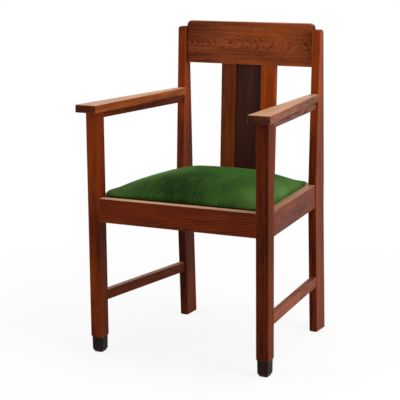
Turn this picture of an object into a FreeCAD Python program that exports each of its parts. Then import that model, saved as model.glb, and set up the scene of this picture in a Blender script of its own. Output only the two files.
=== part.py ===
"""Open-arm oak chair with a loose velvet seat, in millimetres.

+Z is up, the front looks along -Y, and left and right are as seen from the front. The pieces are drawn from
the floor up and from the front faces of the front legs backwards, and each is then shifted so that the origin
lies on the floor in the middle of the chair.
"""
import FreeCAD, Part
import math
import os
import re
import Sketcher

SIZES = {
    # Stance
    "front_width": 549,
    "rear_width": 454.5,
    "seat_depth": 432,
    # Front legs and their dark toes
    "leg_width": 36.5,
    "leg_depth": 36,
    "leg_taper_height": 5,
    "toe_height": 44,
    "toe_inset": 2,
    "toe_taper": 0.5,
    "toe_bevel": 9,
    "toe_dowel_diameter": 12,
    "toe_dowel_length": 24,
    # Rear posts
    "post_width": 24,
    "post_depth": 58.5,
    "post_top_depth": 24,
    "post_top": 886,
    "post_rake": 22.5,
    "post_kick": 16,
    "post_block": 11,
    "post_corner": 8,
    "post_foot_bevel": 3,
    # Seat rails
    "rail_top": 444,
    "rail_height": 67,
    "rail_thickness": 26,
    "side_rail_inset": 2,
    "rear_rail_thickness": 30,
    "rail_tenon_thickness": 9,
    "rail_tenon_length": 13,
    "rail_tenon_shoulder": 10,
    "front_tenon_setback": 7,
    "rear_tenon_setback": 16,
    # Side stretchers
    "stretcher_top": 169,
    "stretcher_height": 29,
    "stretcher_thickness": 18,
    "stretcher_tenon_thickness": 8,
    "stretcher_tenon_length": 14,
    "stretcher_tenon_shoulder": 5,
    # Arms and the rails under them
    "arm_top": 705,
    "arm_thickness": 22,
    "arm_overhang": 27,
    "arm_flare": 18,
    "arm_front_width": 66,
    "arm_rear_width": 27.5,
    "arm_corner": 4,
    "arm_round": 3,
    "arm_tenon_thickness": 12,
    "arm_tenon_length": 14,
    "arm_tenon_shoulder": 6,
    "leg_tenon_width": 18,
    "leg_tenon_length": 12,
    "brace_height": 21,
    "brace_thickness": 14,
    "brace_front_inset": 8,
    "brace_rear_inset": 4,
    "brace_tenon_thickness": 7,
    "brace_tenon_length": 11,
    "brace_tenon_shoulder": 4,
    # Crest and splat
    "crest_top": 903,
    "crest_height": 123,
    "crest_thickness": 18,
    "crest_setback": 8,
    "crest_corner": 14,
    "crest_round": 4,
    "crest_tenon_thickness": 8,
    "crest_tenon_length": 12,
    "crest_tenon_shoulder": 20,
    "splat_setback": 10,
    "stile_width": 45,
    "stile_thickness": 16,
    "stile_tenon_width": 30,
    "stile_tenon_thickness": 8,
    "stile_tenon_length": 12,
    "panel_width": 83,
    "panel_thickness": 5,
    "panel_recess_top": 9,
    "panel_recess_bottom": 2,
    "panel_groove": 6,
    # Corner blocks
    "block_leg": 62,
    "block_height": 25,
    # Loose seat
    "seat_drop": 26,
    "seat_gap": 1.5,
    "seat_corner": 6,
    "seat_notch_step": 8,
    "seat_frame_width": 50,
    "seat_frame_thickness": 18,
    "seat_tenon_width": 26,
    "seat_tenon_thickness": 6,
    "seat_tenon_length": 22,
    "strap_width": 50,
    "strap_thickness": 1.5,
    "strap_ramp": 14,
    "strap_pitch_across": 86,
    "strap_pitch_along": 100,
    "strap_end_inset": 9,
    "hessian_thickness": 1,
    "hessian_inset": 12,
    "cover_thickness": 1.5,
    "cover_clearance": 0.5,
    "cover_hem": 28,
    "crown_height": 60,
    "crown_edge": 13,
    "crown_spring": 2,
    "crown_draw_in": 5,
    # Working allowances
    "joint_gap": 0.2,
    "edge_ease": 1.2,
}
LENGTHWISE_STRAP_COUNT = 4
CROSSWISE_STRAP_COUNT = 3
# Height of the cushion's shoulders as shares of its edge height and of its rise, and the swell of its sides
SHOULDER_EDGE_SHARE = 0.7
SHOULDER_RISE_SHARE = 0.3
SIDE_SWELL_SHARE = 0.18
# Where the cushion's flanks turn into its flatter top, as shares of its half width and of its height there
FLANK_WIDTH_SHARE = 0.45
FLANK_RISE_SHARE = 0.93
FLANK_SWELL_SHARE = 0.11
# How quickly the crown rises behind the front edge and falls before the rear one
CROWN_POWER = 2.8
# Stations of the cushion's sections: turns of its rounded corners, and shares of its depth between them
CORNER_ANGLES = (0, 30, 60, 90)
MIDDLE_SHARES = (0.12, 0.2, 0.3, 0.42, 0.58, 0.7, 0.8, 0.88)
# Closeness at which two places on a solid count as the same
SAME = 1e-3

doc = FreeCAD.newDocument("open_arm_chair")
dims = doc.addObject("Spreadsheet::Sheet", "dims")
for row, (size_name, size) in enumerate(SIZES.items(), start=1):
    dims.set(f"A{row}", size_name)
    dims.set(f"B{row}", str(size))
    dims.setAlias(f"B{row}", size_name)
doc.recompute()

nodes = []


# Formulas on the sheet

def bound(formula):
    """Turns a formula on size names into one on the sheet's cells."""
    return re.sub(r"[a-z_]+", lambda word: "dims." + word[0] if word[0] in SIZES else word[0], formula)


def number(formula):
    """Works a formula out with the sheet's present sizes."""
    return float(dims.evalExpression(bound(formula)))


def between(front, rear, y):
    """A value that runs evenly from the back faces of the front legs to the front faces of the rear posts."""
    return f"(({front}) + (({rear}) - ({front})) * (({y}) - leg_depth) / (seat_depth - leg_depth))"


LEG_OUT = "(front_width / 2)"
LEG_IN = "(front_width / 2 - leg_width)"
LEG_CENTRE = ("(front_width / 2 - leg_width / 2)", "(leg_depth / 2)")
POST_OUT = "(rear_width / 2)"
POST_IN = "(rear_width / 2 - post_width)"
RAIL_BOTTOM = "(rail_top - rail_height)"
KINK = "(rail_top + post_block)"
ARM_BOTTOM = "(arm_top - arm_thickness)"
CREST_BOTTOM = "(crest_top - crest_height)"
STRETCHER_BOTTOM = "(stretcher_top - stretcher_height)"
BRACE_BOTTOM = f"({ARM_BOTTOM} - brace_height)"
SEAT_BASE = "(rail_top - seat_drop)"
SEAT_FRONT = "(rail_thickness + seat_gap)"
SEAT_REAR = "(seat_depth - seat_gap)"
MIDDLE = "((seat_depth + post_kick + post_depth - arm_overhang) / 2)"


def upright_front(z):
    """Front face of a rear post above its kink."""
    return f"(seat_depth + post_rake * (({z}) - {KINK}) / (post_top - {KINK}))"


def foot_front(z):
    """Front face of a rear post below the seat rails."""
    return f"(seat_depth + post_kick * ({RAIL_BOTTOM} - ({z})) / {RAIL_BOTTOM})"


def rail_inside(y):
    """Inner face of the right side rail."""
    inwards = "(side_rail_inset + rail_thickness)"
    return between(f"{LEG_OUT} - {inwards}", f"{POST_OUT} - {inwards}", y)


# Drawing helpers

def new_body(label, is_node=True):
    """A piece of the chair, or one member of a group of like pieces when it isn't a node by itself."""
    body = doc.addObject("PartDesign::Body", label)
    body.Label = label
    body.setExpression("Placement.Base.y", bound(f"-{MIDDLE}"))
    if is_node:
        nodes.append(body)
    return body


def new_sketch(body, name, plane, offset):
    """A sketch on one of the body's own planes, moved along that plane's normal."""
    sketch = body.newObject("Sketcher::SketchObject", name)
    support = next(feature for feature in body.Origin.OriginFeatures if feature.Role == plane)
    sketch.AttachmentSupport = (support, [""])
    sketch.MapMode = "FlatFace"
    sketch.setExpression("AttachmentOffset.Base.z", bound(offset))
    return sketch


def tie(sketch, kind, places, formula):
    """Adds a dimension to a sketch and binds it to the sheet."""
    index = sketch.addConstraint(Sketcher.Constraint(kind, *places, number(formula)))
    sketch.setExpression(f"Constraints[{index}]", bound(formula))


def outline(body, name, plane, corners, offset="0", bulges=None):
    """A closed outline, anticlockwise; an edge with a bulge is an arc standing that far outside its chord."""
    sketch = new_sketch(body, name, plane, offset)
    bulges = bulges or {}
    points = [FreeCAD.Vector(number(x), number(y), 0) for x, y in corners]
    count = len(corners)
    for index in range(count):
        start = points[index]
        end = points[(index + 1) % count]
        if index in bulges:
            outward = (end - start).cross(FreeCAD.Vector(0, 0, 1)).normalize()
            crown = (start + end) / 2 + outward * number(bulges[index])
            sketch.addGeometry(Part.Arc(start, crown, end), False)
        else:
            sketch.addGeometry(Part.LineSegment(start, end), False)
    for index, (x, y) in enumerate(corners):
        following = (index + 1) % count
        sketch.addConstraint(Sketcher.Constraint("Coincident", index, 2, following, 1))
        tie(sketch, "DistanceX", (-1, 1, index, 1), x)
        tie(sketch, "DistanceY", (-1, 1, index, 1), y)
        if index in bulges:
            next_x, next_y = corners[following]
            rise = bulges[index]
            chord_squared = f"((({next_x}) - ({x}))^2 + (({next_y}) - ({y}))^2)"
            tie(sketch, "Radius", (index,), f"{chord_squared} / (8 * ({rise})) + ({rise}) / 2")
    return sketch


def rectangle(x_low, x_high, y_low, y_high):
    return [(x_low, y_low), (x_high, y_low), (x_high, y_high), (x_low, y_high)]


def eased_rectangle(x_low, x_high, y_low, y_high, radius):
    """Corners and arc bulges of a rectangle with rounded corners."""
    corners = [
        (f"{x_low} + {radius}", y_low), (f"{x_high} - {radius}", y_low),
        (x_high, f"{y_low} + {radius}"), (x_high, f"{y_high} - {radius}"),
        (f"{x_high} - {radius}", y_high), (f"{x_low} + {radius}", y_high),
        (x_low, f"{y_high} - {radius}"), (x_low, f"{y_low} + {radius}"),
    ]
    bulge = f"{radius} * (1 - sqrt(0.5))"
    return corners, {1: bulge, 3: bulge, 5: bulge, 7: bulge}


def settle(body, feature):
    doc.recompute()
    body.Tip = feature
    return feature


def pad(body, sketch, length, symmetric=False):
    feature = body.newObject("PartDesign::Pad", sketch.Name + "_pad")
    feature.Profile = sketch
    feature.SideType = "Symmetric" if symmetric else "One side"
    feature.setExpression("Length", bound(length))
    return settle(body, feature)


def pocket(body, sketch, length, forward=False):
    """Cuts against the sketch's normal, or along it when forward, and makes sure that wood is removed."""
    volume = body.Shape.Volume
    feature = body.newObject("PartDesign::Pocket", sketch.Name + "_pocket")
    feature.Profile = sketch
    feature.Reversed = forward
    feature.setExpression("Length", bound(length))
    settle(body, feature)
    if body.Shape.Volume >= volume:
        raise ValueError(f"{sketch.Name} removes nothing")
    return feature


def loft(body, name, sketches, kind="AdditiveLoft"):
    feature = body.newObject("PartDesign::" + kind, name)
    feature.Profile = sketches[0]
    feature.Sections = sketches[1:]
    feature.Ruled = True
    return settle(body, feature)


def dress(body, kind, size_property, size_formula, chosen):
    """Rounds or bevels the edges that the chosen test picks."""
    base = body.Tip
    edges = [f"Edge{i}" for i, edge in enumerate(base.Shape.Edges, start=1) if chosen(edge)]
    feature = body.newObject("PartDesign::" + kind, f"{body.Name}_{kind.lower()}")
    feature.Base = (base, edges)
    feature.setExpression(size_property, bound(size_formula))
    return settle(body, feature)


def add_block(body, name, block):
    """Adds a square tenon given by its low and high X, Y and Z."""
    x_low, x_high, y_low, y_high, z_low, z_high = block
    sketch = outline(body, name, "XY_Plane", rectangle(x_low, x_high, y_low, y_high), offset=z_low)
    return pad(body, sketch, f"({z_high}) - ({z_low})")


def cut_block(body, name, block):
    """Cuts the mortise of a square tenon, with the joint's gap all round."""
    x_low, x_high, y_low, y_high, z_low, z_high = block
    wider = rectangle(f"{x_low} - joint_gap", f"{x_high} + joint_gap",
                      f"{y_low} - joint_gap", f"{y_high} + joint_gap")
    sketch = outline(body, name, "XY_Plane", wider, offset=f"{z_high} + joint_gap")
    return pocket(body, sketch, f"({z_high}) - ({z_low}) + 2 * joint_gap")


def circle(body, name, plane, centre, diameter, offset):
    sketch = new_sketch(body, name, plane, offset)
    middle = FreeCAD.Vector(number(centre[0]), number(centre[1]), 0)
    sketch.addGeometry(Part.Circle(middle, FreeCAD.Vector(0, 0, 1), number(diameter) / 2), False)
    tie(sketch, "DistanceX", (-1, 1, 0, 3), centre[0])
    tie(sketch, "DistanceY", (-1, 1, 0, 3), centre[1])
    tie(sketch, "Diameter", (0,), diameter)
    return sketch


def mirror(body):
    """The left-hand piece of a pair."""
    label = body.Label.replace("right", "left")
    twin = doc.addObject("Part::Mirroring", label)
    twin.Label = label
    twin.Source = body
    twin.Normal = FreeCAD.Vector(1, 0, 0)
    nodes.append(twin)
    return twin


def group(label, pieces):
    """Like pieces that share one node as separate solids."""
    compound = doc.addObject("Part::Compound", label)
    compound.Label = label
    compound.Links = pieces
    nodes.append(compound)
    return compound


def runs_along(edge, axis):
    """True for a straight edge along X, Y or Z."""
    if not isinstance(edge.Curve, Part.Line):
        return False
    return abs(abs(edge.Curve.Direction[axis]) - 1) < SAME**2


# Tenons, each given as low and high X, Y and Z, that their own piece carries and their neighbour is cut for

def side_tenons(front_centre, rear_centre, thickness, length, bottom, top, rear_face):
    """Front and rear tenons of a member that runs from a front leg to a rear post."""
    def across(centre, face):
        return (f"{centre} - {thickness} / 2", f"{centre} + {thickness} / 2",
                f"{face} - {length}", f"{face} + {length}", bottom, top)

    return across(front_centre, "leg_depth"), across(rear_centre, rear_face)


RAIL_TENON_LOW = f"({RAIL_BOTTOM} + rail_tenon_shoulder)"
RAIL_TENON_HIGH = "(rail_top - rail_tenon_shoulder)"
side_rail_tenons = side_tenons(
    f"({LEG_OUT} - side_rail_inset - rail_thickness / 2)",
    f"({POST_OUT} - side_rail_inset - rail_thickness / 2)",
    "rail_tenon_thickness", "rail_tenon_length", RAIL_TENON_LOW, RAIL_TENON_HIGH, "seat_depth")

STRETCHER_MIDDLE = f"({STRETCHER_BOTTOM} + stretcher_height / 2)"
stretcher_tenons = side_tenons(
    f"({LEG_OUT} - stretcher_thickness / 2)", f"({POST_OUT} - stretcher_thickness / 2)",
    "stretcher_tenon_thickness", "stretcher_tenon_length", f"({STRETCHER_BOTTOM} + stretcher_tenon_shoulder)",
    "(stretcher_top - stretcher_tenon_shoulder)", foot_front(STRETCHER_MIDDLE))

BRACE_MIDDLE = f"({BRACE_BOTTOM} + brace_height / 2)"
brace_tenons = side_tenons(
    f"({LEG_OUT} - brace_front_inset - brace_thickness / 2)",
    f"({POST_OUT} - brace_rear_inset - brace_thickness / 2)",
    "brace_tenon_thickness", "brace_tenon_length", f"({BRACE_BOTTOM} + brace_tenon_shoulder)",
    f"({ARM_BOTTOM} - brace_tenon_shoulder)", upright_front(BRACE_MIDDLE))

ARM_MIDDLE = f"({ARM_BOTTOM} + arm_thickness / 2)"
ARM_REAR_CENTRE = f"({POST_OUT} - arm_rear_width / 2)"
arm_tenon = (
    f"({ARM_REAR_CENTRE} - arm_tenon_thickness / 2)", f"({ARM_REAR_CENTRE} + arm_tenon_thickness / 2)",
    f"({upright_front(ARM_MIDDLE)} - arm_tenon_length)", f"({upright_front(ARM_MIDDLE)} + arm_tenon_length)",
    f"({ARM_BOTTOM} + arm_tenon_shoulder)", "(arm_top - arm_tenon_shoulder)")
leg_tenon = (
    f"({LEG_OUT} - leg_width / 2 - leg_tenon_width / 2)",
    f"({LEG_OUT} - leg_width / 2 + leg_tenon_width / 2)",
    "(leg_depth / 2 - leg_tenon_width / 2)", "(leg_depth / 2 + leg_tenon_width / 2)",
    f"({ARM_BOTTOM} - leg_tenon_length)", f"({ARM_BOTTOM} + leg_tenon_length)")

FRONT_RAIL_REACH = f"({LEG_IN} + rail_tenon_length)"
front_rail_tenons = (
    f"-{FRONT_RAIL_REACH}", FRONT_RAIL_REACH, "front_tenon_setback",
    "(front_tenon_setback + rail_tenon_thickness)", RAIL_TENON_LOW, RAIL_TENON_HIGH)
REAR_RAIL_REACH = f"({POST_IN} + rail_tenon_length)"
rear_rail_tenons = (
    f"-{REAR_RAIL_REACH}", REAR_RAIL_REACH, "(seat_depth + rear_tenon_setback)",
    "(seat_depth + rear_tenon_setback + rail_tenon_thickness)", RAIL_TENON_LOW, RAIL_TENON_HIGH)


def leaning(setback, depth, z_low, z_high):
    """Side view of a board that leans back with the posts, given its setback behind their front faces."""
    return [
        (f"{upright_front(z_low)} + {setback}", z_low),
        (f"{upright_front(z_low)} + {setback} + {depth}", z_low),
        (f"{upright_front(z_high)} + {setback} + {depth}", z_high),
        (f"{upright_front(z_high)} + {setback}", z_high),
    ]


CREST_TENON_LOW = f"({CREST_BOTTOM} + crest_tenon_shoulder)"
CREST_TENON_HIGH = "(post_top - crest_tenon_shoulder)"
CREST_TENON_SETBACK = "(crest_setback + (crest_thickness - crest_tenon_thickness) / 2)"
STILE_TENON_SETBACK = "(splat_setback + (stile_thickness - stile_tenon_thickness) / 2)"
STILE_CENTRE = "(panel_width / 2 + stile_width / 2)"


# Front legs and toes

def make_front_leg():
    body = new_body("front_leg_right")
    taper_top = "(toe_height + leg_taper_height)"
    full, rounds = eased_rectangle(LEG_IN, LEG_OUT, "0", "leg_depth", "edge_ease")
    slim, slim_rounds = eased_rectangle(
        f"{LEG_IN} + toe_inset", f"{LEG_OUT} - toe_inset", "toe_inset", "leg_depth - toe_inset", "edge_ease")
    shaft = outline(body, "leg_section", "XY_Plane", full, taper_top, rounds)
    pad(body, shaft, f"{ARM_BOTTOM} - {taper_top}")
    upper = outline(body, "leg_taper_start", "XY_Plane", full, taper_top, rounds)
    lower = outline(body, "leg_taper_end", "XY_Plane", slim, "toe_height", slim_rounds)
    loft(body, "leg_taper", [upper, lower])
    add_block(body, "leg_tenon", leg_tenon)
    cut_block(body, "front_rail_mortise", front_rail_tenons)
    cut_block(body, "side_rail_mortise", side_rail_tenons[0])
    cut_block(body, "stretcher_mortise", stretcher_tenons[0])
    cut_block(body, "brace_mortise", brace_tenons[0])
    hole = circle(body, "toe_dowel_hole", "XY_Plane", LEG_CENTRE, "toe_dowel_diameter + 2 * joint_gap",
                  "toe_height")
    pocket(body, hole, "toe_dowel_length + joint_gap", forward=True)
    return body


def make_front_toe():
    """A dark block with a bevelled sole and narrow flats along its upright edges."""
    body = new_body("front_toe_right")

    def section(name, inset, height):
        corners, _ = eased_rectangle(
            f"{LEG_IN} + {inset}", f"{LEG_OUT} - {inset}", inset, f"leg_depth - {inset}", "edge_ease")
        return outline(body, name, "XY_Plane", corners, height)

    top = section("toe_top", "toe_inset", "toe_height")
    waist = section("toe_waist", "(toe_inset + toe_taper)", "toe_bevel")
    sole = section("toe_sole", "(toe_inset + toe_taper + toe_bevel / 2)", "0")
    loft(body, "toe_block", [top, waist, sole])
    dowel = circle(body, "toe_dowel", "XY_Plane", LEG_CENTRE, "toe_dowel_diameter", "toe_height")
    pad(body, dowel, "toe_dowel_length")
    return body


# Rear posts

def make_rear_post():
    body = new_body("rear_post_right")
    profile = [
        ("seat_depth + post_kick", "0"),
        ("seat_depth + post_kick + post_depth", "0"),
        ("seat_depth + post_depth", RAIL_BOTTOM),
        ("seat_depth + post_depth", KINK),
        ("seat_depth + post_rake + post_top_depth", "post_top"),
        ("seat_depth + post_rake", "post_top"),
        ("seat_depth", KINK),
        ("seat_depth", RAIL_BOTTOM),
    ]
    pad(body, outline(body, "post_profile", "YZ_Plane", profile, POST_IN), "post_width")
    top = number("post_top")
    outside = number(POST_OUT)
    dress(body, "Fillet", "Radius", "post_corner", lambda edge: runs_along(edge, 1)
          and abs(edge.CenterOfMass.z - top) < SAME and abs(edge.CenterOfMass.x - outside) < SAME)
    dress(body, "Chamfer", "Size", "post_foot_bevel", lambda edge: edge.BoundBox.ZMax < SAME)
    cut_block(body, "side_rail_mortise", side_rail_tenons[1])
    cut_block(body, "rear_rail_mortise", rear_rail_tenons)
    cut_block(body, "stretcher_mortise", stretcher_tenons[1])
    cut_block(body, "brace_mortise", brace_tenons[1])
    cut_block(body, "arm_mortise", arm_tenon)
    crest = leaning(f"{CREST_TENON_SETBACK} - joint_gap", "crest_tenon_thickness + 2 * joint_gap",
                    f"({CREST_TENON_LOW} - joint_gap)", f"({CREST_TENON_HIGH} + joint_gap)")
    mortise = outline(body, "crest_mortise", "YZ_Plane", crest, f"{POST_IN} + crest_tenon_length + joint_gap")
    pocket(body, mortise, "crest_tenon_length + 2 * joint_gap")
    return body


# Seat rails

def make_front_rail():
    body = new_body("front_seat_rail")
    plan = rectangle(f"-{LEG_IN}", LEG_IN, "0", "rail_thickness")
    pad(body, outline(body, "rail_plan", "XY_Plane", plan, RAIL_BOTTOM), "rail_height")
    dress(body, "Fillet", "Radius", "edge_ease", lambda edge: runs_along(edge, 0))
    add_block(body, "rail_tenons", front_rail_tenons)
    return body


def make_rear_rail():
    body = new_body("rear_seat_rail")
    plan = rectangle(f"-{POST_IN}", POST_IN, "seat_depth", "seat_depth + rear_rail_thickness")
    pad(body, outline(body, "rail_plan", "XY_Plane", plan, RAIL_BOTTOM), "rail_height")
    dress(body, "Fillet", "Radius", "edge_ease", lambda edge: runs_along(edge, 0))
    add_block(body, "rail_tenons", rear_rail_tenons)
    cut_stile_mortises(body, "rail_top - stile_tenon_length", "rail_top + joint_gap")
    return body


def cut_rear_shoulder(body, rear_face, bottom, top):
    """Cuts off what reaches behind the front face of the rear post, between two heights."""
    below = f"({bottom} - post_block)"
    above = f"({top} + post_block)"
    behind = "(seat_depth + 2 * post_depth)"
    profile = [(rear_face(below), below), (behind, below), (behind, above), (rear_face(above), above)]
    pocket(body, outline(body, "rear_shoulder", "YZ_Plane", profile), "front_width", forward=True)


def side_member(label, front_out, rear_out, thickness, bottom, top, rear_face, tenons):
    """A bar from a front leg to a rear post, with its rear shoulder cut to the lean of the post."""
    body = new_body(label)
    behind = "(seat_depth + post_depth)"
    front_in = f"{front_out} - {thickness}"
    rear_in = f"{rear_out} - {thickness}"
    plan = [
        (front_in, "leg_depth"), (front_out, "leg_depth"),
        (between(front_out, rear_out, behind), behind), (between(front_in, rear_in, behind), behind),
    ]
    pad(body, outline(body, "plan", "XY_Plane", plan, bottom), f"({top}) - ({bottom})")
    cut_rear_shoulder(body, rear_face, bottom, top)
    length = number("seat_depth - leg_depth") / 2
    dress(body, "Fillet", "Radius", "edge_ease", lambda edge: edge.Length > length)
    for tenon in tenons:
        add_block(body, "tenon", tenon)
    return body


def make_side_rail():
    return side_member(
        "side_seat_rail_right", f"{LEG_OUT} - side_rail_inset", f"{POST_OUT} - side_rail_inset",
        "rail_thickness", RAIL_BOTTOM, "rail_top", lambda z: "seat_depth", side_rail_tenons)


# Corner blocks that the loose seat rests on

def make_front_block():
    body = new_body("corner_block_front_right")
    reach = "(leg_depth + block_leg)"
    plan = [
        (f"{LEG_IN} - block_leg", "rail_thickness"), (LEG_IN, "rail_thickness"), (LEG_IN, "leg_depth"),
        (rail_inside("leg_depth"), "leg_depth"), (rail_inside(reach), reach),
    ]
    pad(body, outline(body, "block_plan", "XY_Plane", plan, f"{SEAT_BASE} - block_height"), "block_height")
    return body


def make_rear_block():
    body = new_body("corner_block_rear_right")
    reach = "(seat_depth - block_leg)"
    plan = [
        (rail_inside(reach), reach), (rail_inside("seat_depth"), "seat_depth"),
        (f"{rail_inside('seat_depth')} - block_leg", "seat_depth"),
    ]
    pad(body, outline(body, "block_plan", "XY_Plane", plan, f"{SEAT_BASE} - block_height"), "block_height")
    return body


# Arms and the rails under them

def make_arm():
    body = new_body("arm_right")
    behind = "(seat_depth + post_depth)"
    front = "(-arm_overhang)"
    arm_rear = upright_front(ARM_MIDDLE)

    def edge_at(front_x, rear_x, y):
        return f"(({front_x}) + (({rear_x}) - ({front_x})) * (({y}) - {front}) / ({arm_rear} - {front}))"

    outer = (f"{LEG_OUT} + arm_flare", POST_OUT)
    inner = (f"{LEG_OUT} + arm_flare - arm_front_width", f"{POST_OUT} - arm_rear_width")
    plan = [
        (inner[0], front), (outer[0], front),
        (edge_at(*outer, behind), behind), (edge_at(*inner, behind), behind),
    ]
    pad(body, outline(body, "arm_plan", "XY_Plane", plan, ARM_BOTTOM), "arm_thickness")
    cut_rear_shoulder(body, upright_front, ARM_BOTTOM, "arm_top")
    dress(body, "Fillet", "Radius", "arm_corner",
          lambda edge: runs_along(edge, 2) and edge.CenterOfMass.y < 0)
    rear = number(arm_rear) - number("arm_tenon_length")
    dress(body, "Fillet", "Radius", "arm_round",
          lambda edge: edge.BoundBox.ZLength < SAME and edge.CenterOfMass.y < rear)
    add_block(body, "arm_tenon", arm_tenon)
    cut_block(body, "leg_mortise", leg_tenon)
    return body


# Crest and splat

def cut_stile_mortises(body, z_low, z_high):
    """Mortises for both stiles' tenons, cut from the middle of the chair outwards."""
    profile = leaning(f"{STILE_TENON_SETBACK} - joint_gap", "stile_tenon_thickness + 2 * joint_gap",
                      f"({z_low} - joint_gap)", f"({z_high})")
    far_edge = f"{STILE_CENTRE} + stile_tenon_width / 2 + joint_gap"
    near_edge = f"-({STILE_CENTRE} - stile_tenon_width / 2 - joint_gap)"
    for edge in (far_edge, near_edge):
        mortise = outline(body, "stile_mortise", "YZ_Plane", profile, edge)
        pocket(body, mortise, "stile_tenon_width + 2 * joint_gap")


def make_crest():
    body = new_body("crest_rail")
    board = leaning("crest_setback", "crest_thickness", CREST_BOTTOM, "crest_top")
    pad(body, outline(body, "crest_profile", "YZ_Plane", board), f"2 * {POST_IN}", symmetric=True)
    top = number("crest_top")
    dress(body, "Fillet", "Radius", "crest_corner",
          lambda edge: runs_along(edge, 1) and edge.CenterOfMass.z > top - SAME)
    dress(body, "Fillet", "Radius", "crest_round",
          lambda edge: runs_along(edge, 0) and edge.CenterOfMass.z > top - SAME)
    tenon = leaning(CREST_TENON_SETBACK, "crest_tenon_thickness", CREST_TENON_LOW, CREST_TENON_HIGH)
    pad(body, outline(body, "crest_tenons", "YZ_Plane", tenon), f"2 * ({POST_IN} + crest_tenon_length)",
        symmetric=True)
    cut_stile_mortises(body, f"{CREST_BOTTOM}", f"{CREST_BOTTOM} + stile_tenon_length + joint_gap")
    return body


def panel_profile(gap):
    """Side view of the dark panel, which leans back a little more than the stiles beside it."""
    low_z = "rail_top"
    high_z = CREST_BOTTOM
    low_y = f"{upright_front(low_z)} + splat_setback + panel_recess_bottom"
    high_y = f"{upright_front(high_z)} + splat_setback + panel_recess_top"
    return [
        (f"{low_y} - {gap}", low_z), (f"{low_y} + panel_thickness + {gap}", low_z),
        (f"{high_y} + panel_thickness + {gap}", high_z), (f"{high_y} - {gap}", high_z),
    ]


def make_splat_stile():
    body = new_body("splat_stile_right")
    board = leaning("splat_setback", "stile_thickness", "rail_top", CREST_BOTTOM)
    pad(body, outline(body, "stile_profile", "YZ_Plane", board, "panel_width / 2"), "stile_width")
    length = number(f"{CREST_BOTTOM} - rail_top") / 2
    dress(body, "Fillet", "Radius", "edge_ease", lambda edge: edge.Length > length)
    tenon = leaning(STILE_TENON_SETBACK, "stile_tenon_thickness", "(rail_top - stile_tenon_length)",
                    f"({CREST_BOTTOM} + stile_tenon_length)")
    pad(body, outline(body, "stile_tenons", "YZ_Plane", tenon, f"{STILE_CENTRE} - stile_tenon_width / 2"),
        "stile_tenon_width")
    groove = outline(body, "panel_groove", "YZ_Plane", panel_profile("joint_gap"),
                     "panel_width / 2 + panel_groove")
    pocket(body, groove, "panel_groove")
    return body


def make_splat_panel():
    body = new_body("splat_panel")
    pad(body, outline(body, "panel_profile", "YZ_Plane", panel_profile("0")),
        "panel_width + 2 * (panel_groove - joint_gap)", symmetric=True)
    return body


# Loose seat: frame, webbing, hessian, stuffing and velvet

COVER_SKIN = "(cover_thickness + cover_clearance)"
FRAME_BOTTOM = f"({SEAT_BASE} + cover_thickness)"
FRAME_TOP = f"({FRAME_BOTTOM} + seat_frame_thickness)"
FRAME_FRONT = f"({SEAT_FRONT} + {COVER_SKIN})"
FRAME_REAR = f"({SEAT_REAR} - {COVER_SKIN})"
FRONT_JOINT = f"({FRAME_FRONT} + seat_frame_width)"
REAR_JOINT = f"({FRAME_REAR} - seat_frame_width)"
HESSIAN_BOTTOM = f"({FRAME_TOP} + 2 * strap_thickness)"
STUFFING_BOTTOM = f"({HESSIAN_BOTTOM} + hessian_thickness)"


def seat_half(y):
    """Half width of the covered seat, which clears the side rails."""
    return f"({rail_inside(y)} - seat_gap)"


def frame_half(y):
    return f"({seat_half(y)} - {COVER_SKIN})"


# The seat's front corners step in beside the front legs, which stand further back than the front rail
NOTCH_HALF = f"min({LEG_IN} - seat_gap; {seat_half(SEAT_FRONT)})"
NOTCH_END = f"max(leg_depth + seat_gap; {SEAT_FRONT} + seat_corner + joint_gap)"


def both_sides(right_side):
    """Closes a plan, given from front to rear along its right side, with its left side."""
    left_side = [(f"-({x})", y) for x, y in reversed(right_side)]
    return right_side + left_side


def seat_tenon(joint, side):
    """A tenon across a joint of the seat frame, on the right side for 1 and on the left for -1."""
    centre = f"({side} * ({frame_half(joint)} - seat_frame_width / 2))"
    middle = f"({FRAME_BOTTOM} + seat_frame_thickness / 2)"
    return (f"{centre} - seat_tenon_width / 2", f"{centre} + seat_tenon_width / 2",
            f"{joint} - seat_tenon_length", f"{joint} + seat_tenon_length",
            f"{middle} - seat_tenon_thickness / 2", f"{middle} + seat_tenon_thickness / 2")


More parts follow.
